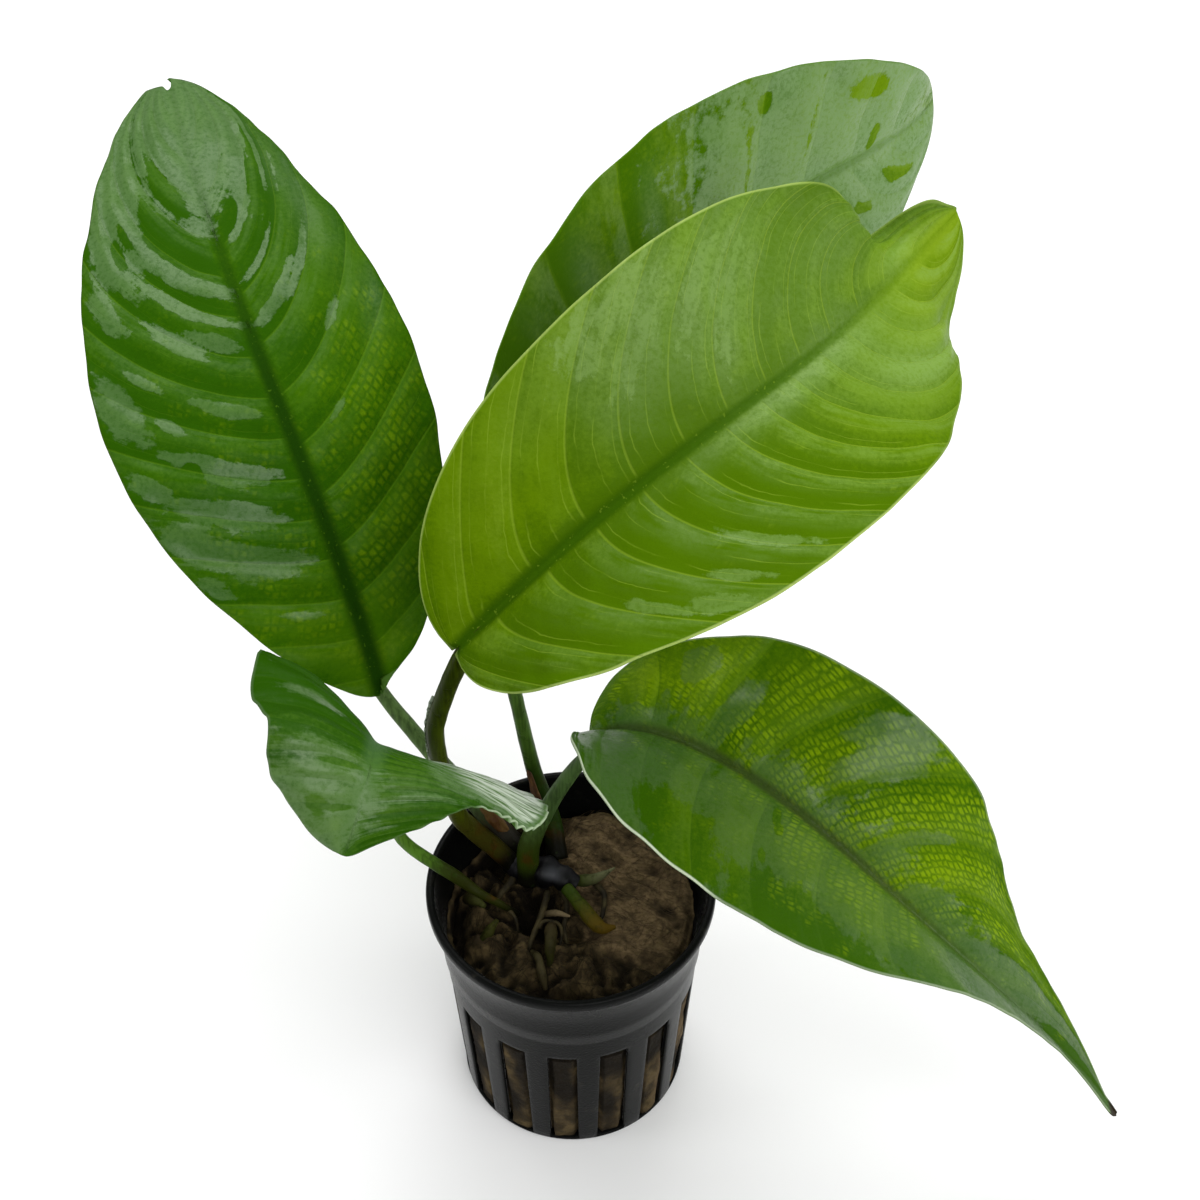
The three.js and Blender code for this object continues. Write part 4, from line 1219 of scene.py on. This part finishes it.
def build_wing():
    """The torn papery edge of a sheath, along the left of the front stalk."""
    line = smooth_path(STALKS["front"]["path"], 200)
    line = line[(line[:, 2] > WING_FROM) & (line[:, 2] < WING_TO)]
    along = np.linspace(0, 1, len(line))
    tangent = unit(np.gradient(line, axis=0))
    outward = unit(np.cross(tangent, np.array(WING_FACE)))
    outward *= np.sign(-outward[:, :1])
    torn = 0.5 * np.abs(noise_field(np.stack([along * 30, along, along], 1), 1.6, 2.2))
    reach = 0.1 + 0.5 * torn + 0.25 * smooth(along, 0.35, 0.7) * smooth(along, 1.0, 0.9)
    inner = line + outward * 1.25
    outer = line + outward * (1.5 + reach)[:, None]
    lift = np.cross(outward, tangent)
    top = np.stack([inner + (outer - inner) * f for f in np.linspace(0, 1, 5)], axis=1)
    top = top + lift[:, None] * lumps_at(top, WING_RIPPLES)[..., None]
    under = top - lift[:, None] * WING_THICK
    pattern = (900.0, 3.0)
    paint = two_tone_paint("sheath_edge_film", WING_COLOURS, pattern, (0.4, 0.6), (0.45, 0.2), 0.3, 0.0001)
    add_sheet("sheath_edge_front", top, under, paint)


# Mineral wool


def wool_chunk(x, y):
    """1 on the clean combed block at the back right, 0 on the rooty part at the front left."""
    side = (x + 1.5 + 0.28 * (y - 4)) + 1.2 * np.sin(y * 0.6)
    return smooth(side, -1.0, 3.0) * smooth(y + 0.55 * x, -9, -2)


def wool_clumps(x, y):
    """How full the wool is: clumps with deep creases, or soft combed folds on the clean block."""
    spots = np.stack([x, y, np.zeros_like(x)], axis=-1)
    combed = np.stack([(x - y) / 7.5, (x + y) / 2.8, np.zeros_like(x)], axis=-1)
    clumps = sum(rise * np.abs(noise_field(spots, size, seed)) for rise, size, seed in WOOL_CLUMPS)
    folds = 0.75 + 0.7 * noise_field(combed, 1.0, 3.7) + 0.25 * noise_field(spots, 1.8, 9.1)
    return np.clip(clumps + (folds - clumps) * wool_chunk(x, y), 0, 1.3)


def wool_height(x, y):
    chunk = wool_chunk(x, y)
    height = WOOL_TOP + 1.4 * chunk - 1.3 + (3.0 - 1.2 * chunk) * wool_clumps(x, y)
    for *spot, rise in WOOL_SPOTS:
        height = height + rise * hump(x, y, *spot)
    return np.maximum(height, WOOL_TOP - WOOL_DEEPEST)


def inner_radius(z):
    """The pot's inner wall below its neck."""
    return BASE_R - WALL + (NECK_R - BASE_R) * z / NECK_Z


def wool_radius(z):
    return np.minimum(inner_radius(z), NECK_R - WALL) - WOOL_GAP


def slot_middle(angle):
    """1 in the middle of a pot slot and 0 behind a rib, at an angle from the front in degrees."""
    turn = (angle - SLOT_FIRST) / (360 / SLOT_COUNT)
    return smooth(np.abs(turn - np.round(turn)), 0.285, 0.2)


def slot_lumps(points):
    return noise_field(points * SLOT_LUMP_STRETCH, SLOT_LUMP_SIZE, 2.9)


def wool_grid(angle):
    """Rings from the middle of the top outward, then down the side."""
    rows = []
    for ring in np.linspace(0.02, 1, 60) ** 0.8:
        r = ring * wool_radius(WOOL_TOP)
        x = r * np.cos(angle)
        y = r * np.sin(angle)
        rows.append(np.stack([x, y, wool_height(x, y) - 1.2 * smooth(ring, 0.93, 1.0)], axis=1))
    in_slot = slot_middle(np.degrees(angle) + 90)
    for z in np.linspace(41, WOOL_FOOT, 90):
        r = wool_radius(z) + WOOL_BULGE * in_slot * (1 if z < SLOT_TOP - 1 else 0)
        rows.append(np.stack([r * np.cos(angle), r * np.sin(angle), np.full(len(angle), z)], axis=1))
    return np.array(rows)


def build_wool(material):
    around = 240
    grid = wool_grid(np.linspace(0, 2 * math.pi, around, endpoint=False))
    outward = unit(np.cross(np.gradient(grid, axis=1), np.gradient(grid, axis=0)) + 1e-9)
    behind_slots = grid[..., 2] < SLOT_TOP
    rough = lumps_at(grid, WOOL_LUMPS)
    rough = np.where(behind_slots, 0.35 * rough, rough) + SLOT_LUMP_RISE * slot_lumps(grid) * behind_slots
    grid = grid - outward * (WOOL_SUNK - rough)[..., None] * np.sign(outward[5, 5, 2])
    points = list(grid.reshape(-1, 3))
    faces = grid_faces(len(grid), around, closed=True, flip=True)
    top = np.array([0, 0, float(wool_height(0.0, 0.0))])
    add_fan(points, faces, 0, around, top, flip=False)
    add_fan(points, faces, (len(grid) - 1) * around, around, np.array([0, 0, WOOL_FOOT]), flip=True)
    piece = add_piece("wool_plug", points, faces, material, "rockwool_plug")
    x, y, z = np.array(points).T
    add_value(piece, "chunk", wool_chunk(x, y))
    # Painted shade: darker in the creases and the deeper the wool lies; in the slots lighter on the lumps
    # that stand out and darker toward the top.
    on_top = wool_clumps(x, y) - 0.3 * np.maximum(WOOL_TOP - 2.5 - z, 0)
    in_slots = 0.47 + 0.8 * slot_lumps(np.array(points)) - 0.25 * smooth(z, SLOT_TOP - 6, SLOT_TOP)
    add_value(piece, "clump_shade", np.where(z > SLOT_TOP + 4, on_top, in_slots))


def wool_strands():
    """Loose fibres that lie on the wool: combed on the back right chunk, tangled elsewhere."""
    strands = []
    reach = wool_radius(WOOL_TOP) - 0.8
    for _ in range(TOP_FIBRES):
        r = reach * math.sqrt(random.random())
        a = random.uniform(0, 2 * math.pi)
        x, y = r * math.cos(a), r * math.sin(a)
        combed = random.random() < hump(x, y, 9, 3, 9, 9)
        way = random.gauss(0, 0.25) - 0.75 if combed else random.uniform(0, math.pi)
        length = random.uniform(3, 9)
        height = random.uniform(0.0, 0.35)
        strand = []
        for f in np.linspace(-0.5, 0.5, 6):
            bend = 0.8 * math.sin(3 * f + a)
            px = x + length * f * math.cos(way) - bend * math.sin(way)
            py = y + length * f * math.sin(way) + bend * math.cos(way)
            scale = min(1, reach / max(math.hypot(px, py), 1e-6))
            px, py = px * scale, py * scale
            strand.append((px, py, float(wool_height(px, py)) - 0.25 + height))
        strands.append(strand)
    return strands


def slot_strands():
    """Fibres that cross the wool behind each slot."""
    strands = []
    for k in range(SLOT_COUNT):
        for _ in range(FIBRES_IN_SLOT):
            z = random.uniform(2, SLOT_TOP - 1)
            way = random.uniform(-1.2, 1.2)
            length = random.uniform(1.5, 4.5)
            side = random.uniform(-1.6, 1.6)
            out = random.uniform(0.1, 0.7)
            strand = []
            for f in np.linspace(-0.5, 0.5, 5):
                across = np.clip(side + length * f * math.sin(way), -2.1, 2.1)
                height = np.clip(z + length * f * math.cos(way), 1.6, SLOT_TOP - 0.6)
                r = float(wool_radius(height)) + out * (1 - 2 * abs(f)) + 0.1
                a = slot_angle(k) + across / r
                strand.append((r * math.cos(a), r * math.sin(a), height))
            strands.append(strand)
    return strands


def build_fibres(name, strands, material):
    """Many thin three-sided strands as one mesh, each from a list of points."""
    points = []
    faces = []
    for strand in strands:
        thick = FIBRE_RADIUS * random.uniform(0.6, 1.3)
        grid, _ = stem_grid(np.array(strand), [thick, thick, thick * 0.4], 3)
        faces += grid_faces(len(strand), 3, start=len(points), closed=True)
        points += list(grid.reshape(-1, 3))
    fibres = add_piece(name, points, faces, material)
    x, y, _ = np.array(points).T
    add_value(fibres, "chunk", wool_chunk(x, y))
    add_value(fibres, "clump_shade", np.ones(len(points)))


# Pot


def outer_radius(z):
    """The pot's outer wall below its step."""
    return BASE_R + (STEP_R - BASE_R) * (z - FOOT_ROUND) / (STEP_Z - FOOT_ROUND)


def pot_rings():
    """Rings from the underside's middle up the outside and down the inside, and the first inner slot ring."""
    rings = [*POT_FOOT, *((outer_radius(z), z) for z in (*SLOT_HEIGHTS, *BAND_HEIGHTS)), *POT_RIM]
    rings += [(inner_radius(z), z) for z in (36, 31)]
    second = len(rings)
    rings += [(inner_radius(z), z) for z in reversed(SLOT_HEIGHTS)]
    rings += [(13, SLOT_FOOT), (6, SLOT_FOOT)]
    return rings, second


def slot_angle(k):
    """Where the middle of a slot is, counted from the front one."""
    return math.radians(SLOT_FIRST + 360 / SLOT_COUNT * k - 90)


def ring_angles(radius):
    """Column angles on a ring: four steps over each slot and four over each rib."""
    edge = math.asin(min(SLOT_W / 2 / radius, 0.2))
    rib = 2 * math.pi / SLOT_COUNT - 2 * edge
    angles = []
    for k in range(SLOT_COUNT):
        middle = slot_angle(k)
        angles += [middle - edge + 2 * edge * j / 4 for j in range(4)]
        angles += [middle + edge + rib * j / 4 for j in range(4)]
    return angles


def build_pot(material):
    rings, second = pot_rings()
    points = [(r * math.cos(a), r * math.sin(a), z) for r, z in rings for a in ring_angles(r)]
    faces = []
    for face in grid_faces(len(rings), POT_COLUMNS, closed=True):
        row, column = divmod(face[0], POT_COLUMNS)
        between_slot_rows = 0 <= row - FIRST_SLOT_ROW < SLOT_ROWS - 1 or 0 <= row - second < SLOT_ROWS - 1
        if not (between_slot_rows and column % 8 < 4):
            faces.append(face)
    for k in range(SLOT_COUNT):
        faces += slot_walls(k, second)
    last = (len(rings) - 1) * POT_COLUMNS
    add_fan(points, faces, 0, POT_COLUMNS, (0, 0, rings[0][1]), flip=True)
    add_fan(points, faces, last, POT_COLUMNS, (0, 0, rings[-1][1]), flip=False)
    pot = add_piece("pot", points, faces, material, "net_pot")
    mark_slot_edges(pot.data)
    rounding = pot.modifiers.new("rounding", "BEVEL")
    rounding.width = EDGE_ROUND * MM
    rounding.segments = 2
    rounding.limit_method = "WEIGHT"


def mark_slot_edges(mesh):
    """Marks the outer edges of the slots, which are the ones to be rounded."""
    weight = mesh.attributes.new("bevel_weight_edge", "FLOAT", "EDGE")
    last = FIRST_SLOT_ROW + SLOT_ROWS - 1
    for edge in mesh.edges:
        (row_a, col_a), (row_b, col_b) = (divmod(v, POT_COLUMNS) for v in edge.vertices)
        if min(row_a, row_b) < FIRST_SLOT_ROW or max(row_a, row_b) > last:
            continue
        upright = col_a == col_b and col_a % 4 == 0
        level = row_a == row_b and row_a in (FIRST_SLOT_ROW, last) and max(col_a % 8, col_b % 8) <= 4
        if upright or level:
            weight.data[edge.index].value = 1.0


def slot_walls(k, second):
    """The two sides, the sill and the top of one slot, between the outer and the inner wall."""
    faces = []
    top = SLOT_ROWS - 1

    def outer(row, column):
        return (FIRST_SLOT_ROW + row) * POT_COLUMNS + (8 * k + column) % POT_COLUMNS

    def inner(row, column):
        return (second + top - row) * POT_COLUMNS + (8 * k + column) % POT_COLUMNS

    for row in range(top):
        faces.append((outer(row, 0), inner(row, 0), inner(row + 1, 0), outer(row + 1, 0)))
        faces.append((outer(row, 4), outer(row + 1, 4), inner(row + 1, 4), inner(row, 4)))
    for j in range(4):
        faces.append((outer(0, j), outer(0, j + 1), inner(0, j + 1), inner(0, j)))
        faces.append((outer(top, j), inner(top, j), inner(top, j + 1), outer(top, j + 1)))
    return faces


# Stage, light and camera


def add_floor():
    side = FLOOR_SIDE / 2
    corners = [(-side, -side, FLOOR_Z), (side, -side, FLOOR_Z), (side, side, FLOOR_Z), (-side, side, FLOOR_Z)]
    mesh = bpy.data.meshes.new("floor")
    mesh.from_pydata(corners, [], [(0, 1, 2, 3)])
    mesh.materials.append(floor_paint())
    floor = bpy.data.objects.new("floor", mesh)
    bpy.context.scene.collection.objects.link(floor)


def add_lights():
    for box in SOFTBOXES:
        lamp = bpy.data.lights.new(box["name"], "AREA")
        lamp.shape = "RECTANGLE"
        lamp.size = box["width"]
        lamp.size_y = box["height"]
        lamp.energy = box["glow"] * math.pi * box["width"] * box["height"]
        around = math.radians(box["round"])
        up = math.radians(box["up"])
        way = Vector((math.sin(around) * math.cos(up), math.cos(around) * math.cos(up), math.sin(up)))
        holder = bpy.data.objects.new(box["name"], lamp)
        holder.location = AIM + way * LIGHT_DISTANCE
        holder.rotation_euler = way.to_track_quat("Z", "Y").to_euler()
        bpy.context.scene.collection.objects.link(holder)
    world = bpy.data.worlds.new("studio")
    world.use_nodes = True
    background = world.node_tree.nodes["Background"]
    background.inputs["Color"].default_value = (1, 1, 1, 1)
    background.inputs["Strength"].default_value = WORLD_GLOW
    bpy.context.scene.world = world


def add_camera():
    lens = bpy.data.cameras.new("photo_view")
    lens.lens = LENS
    lens.sensor_width = 36
    lens.clip_start = 0.01
    camera = bpy.data.objects.new("photo_view", lens)
    camera.location = CAMERA_PLACE
    camera.rotation_euler = (math.radians(90 - CAMERA_DOWN), 0, 0)
    bpy.context.scene.collection.objects.link(camera)
    bpy.context.scene.camera = camera


for leaf in LEAVES:
    build_leaf(leaf)
for leaf in LEAVES:
    build_stalk(leaf, STALKS[leaf["name"]])
for growth in GROWTHS:
    build_growth(growth)
for sheath in SHEATHS:
    build_sheath(sheath)
build_rhizome()
build_pot(pot_paint())
build_thin_roots()
build_wing()
build_wool(wool_paint("wool_wet", *WET_WOOL))
loose = wool_paint("wool_loose_fibre", *LOOSE_WOOL)
for name, strands in (("wool_fibres_top", wool_strands()), ("wool_fibres_in_slots", slot_strands())):
    build_fibres(name, strands, loose)

add_floor()
add_lights()
add_camera()
bpy.context.scene.view_settings.view_transform = "Standard"
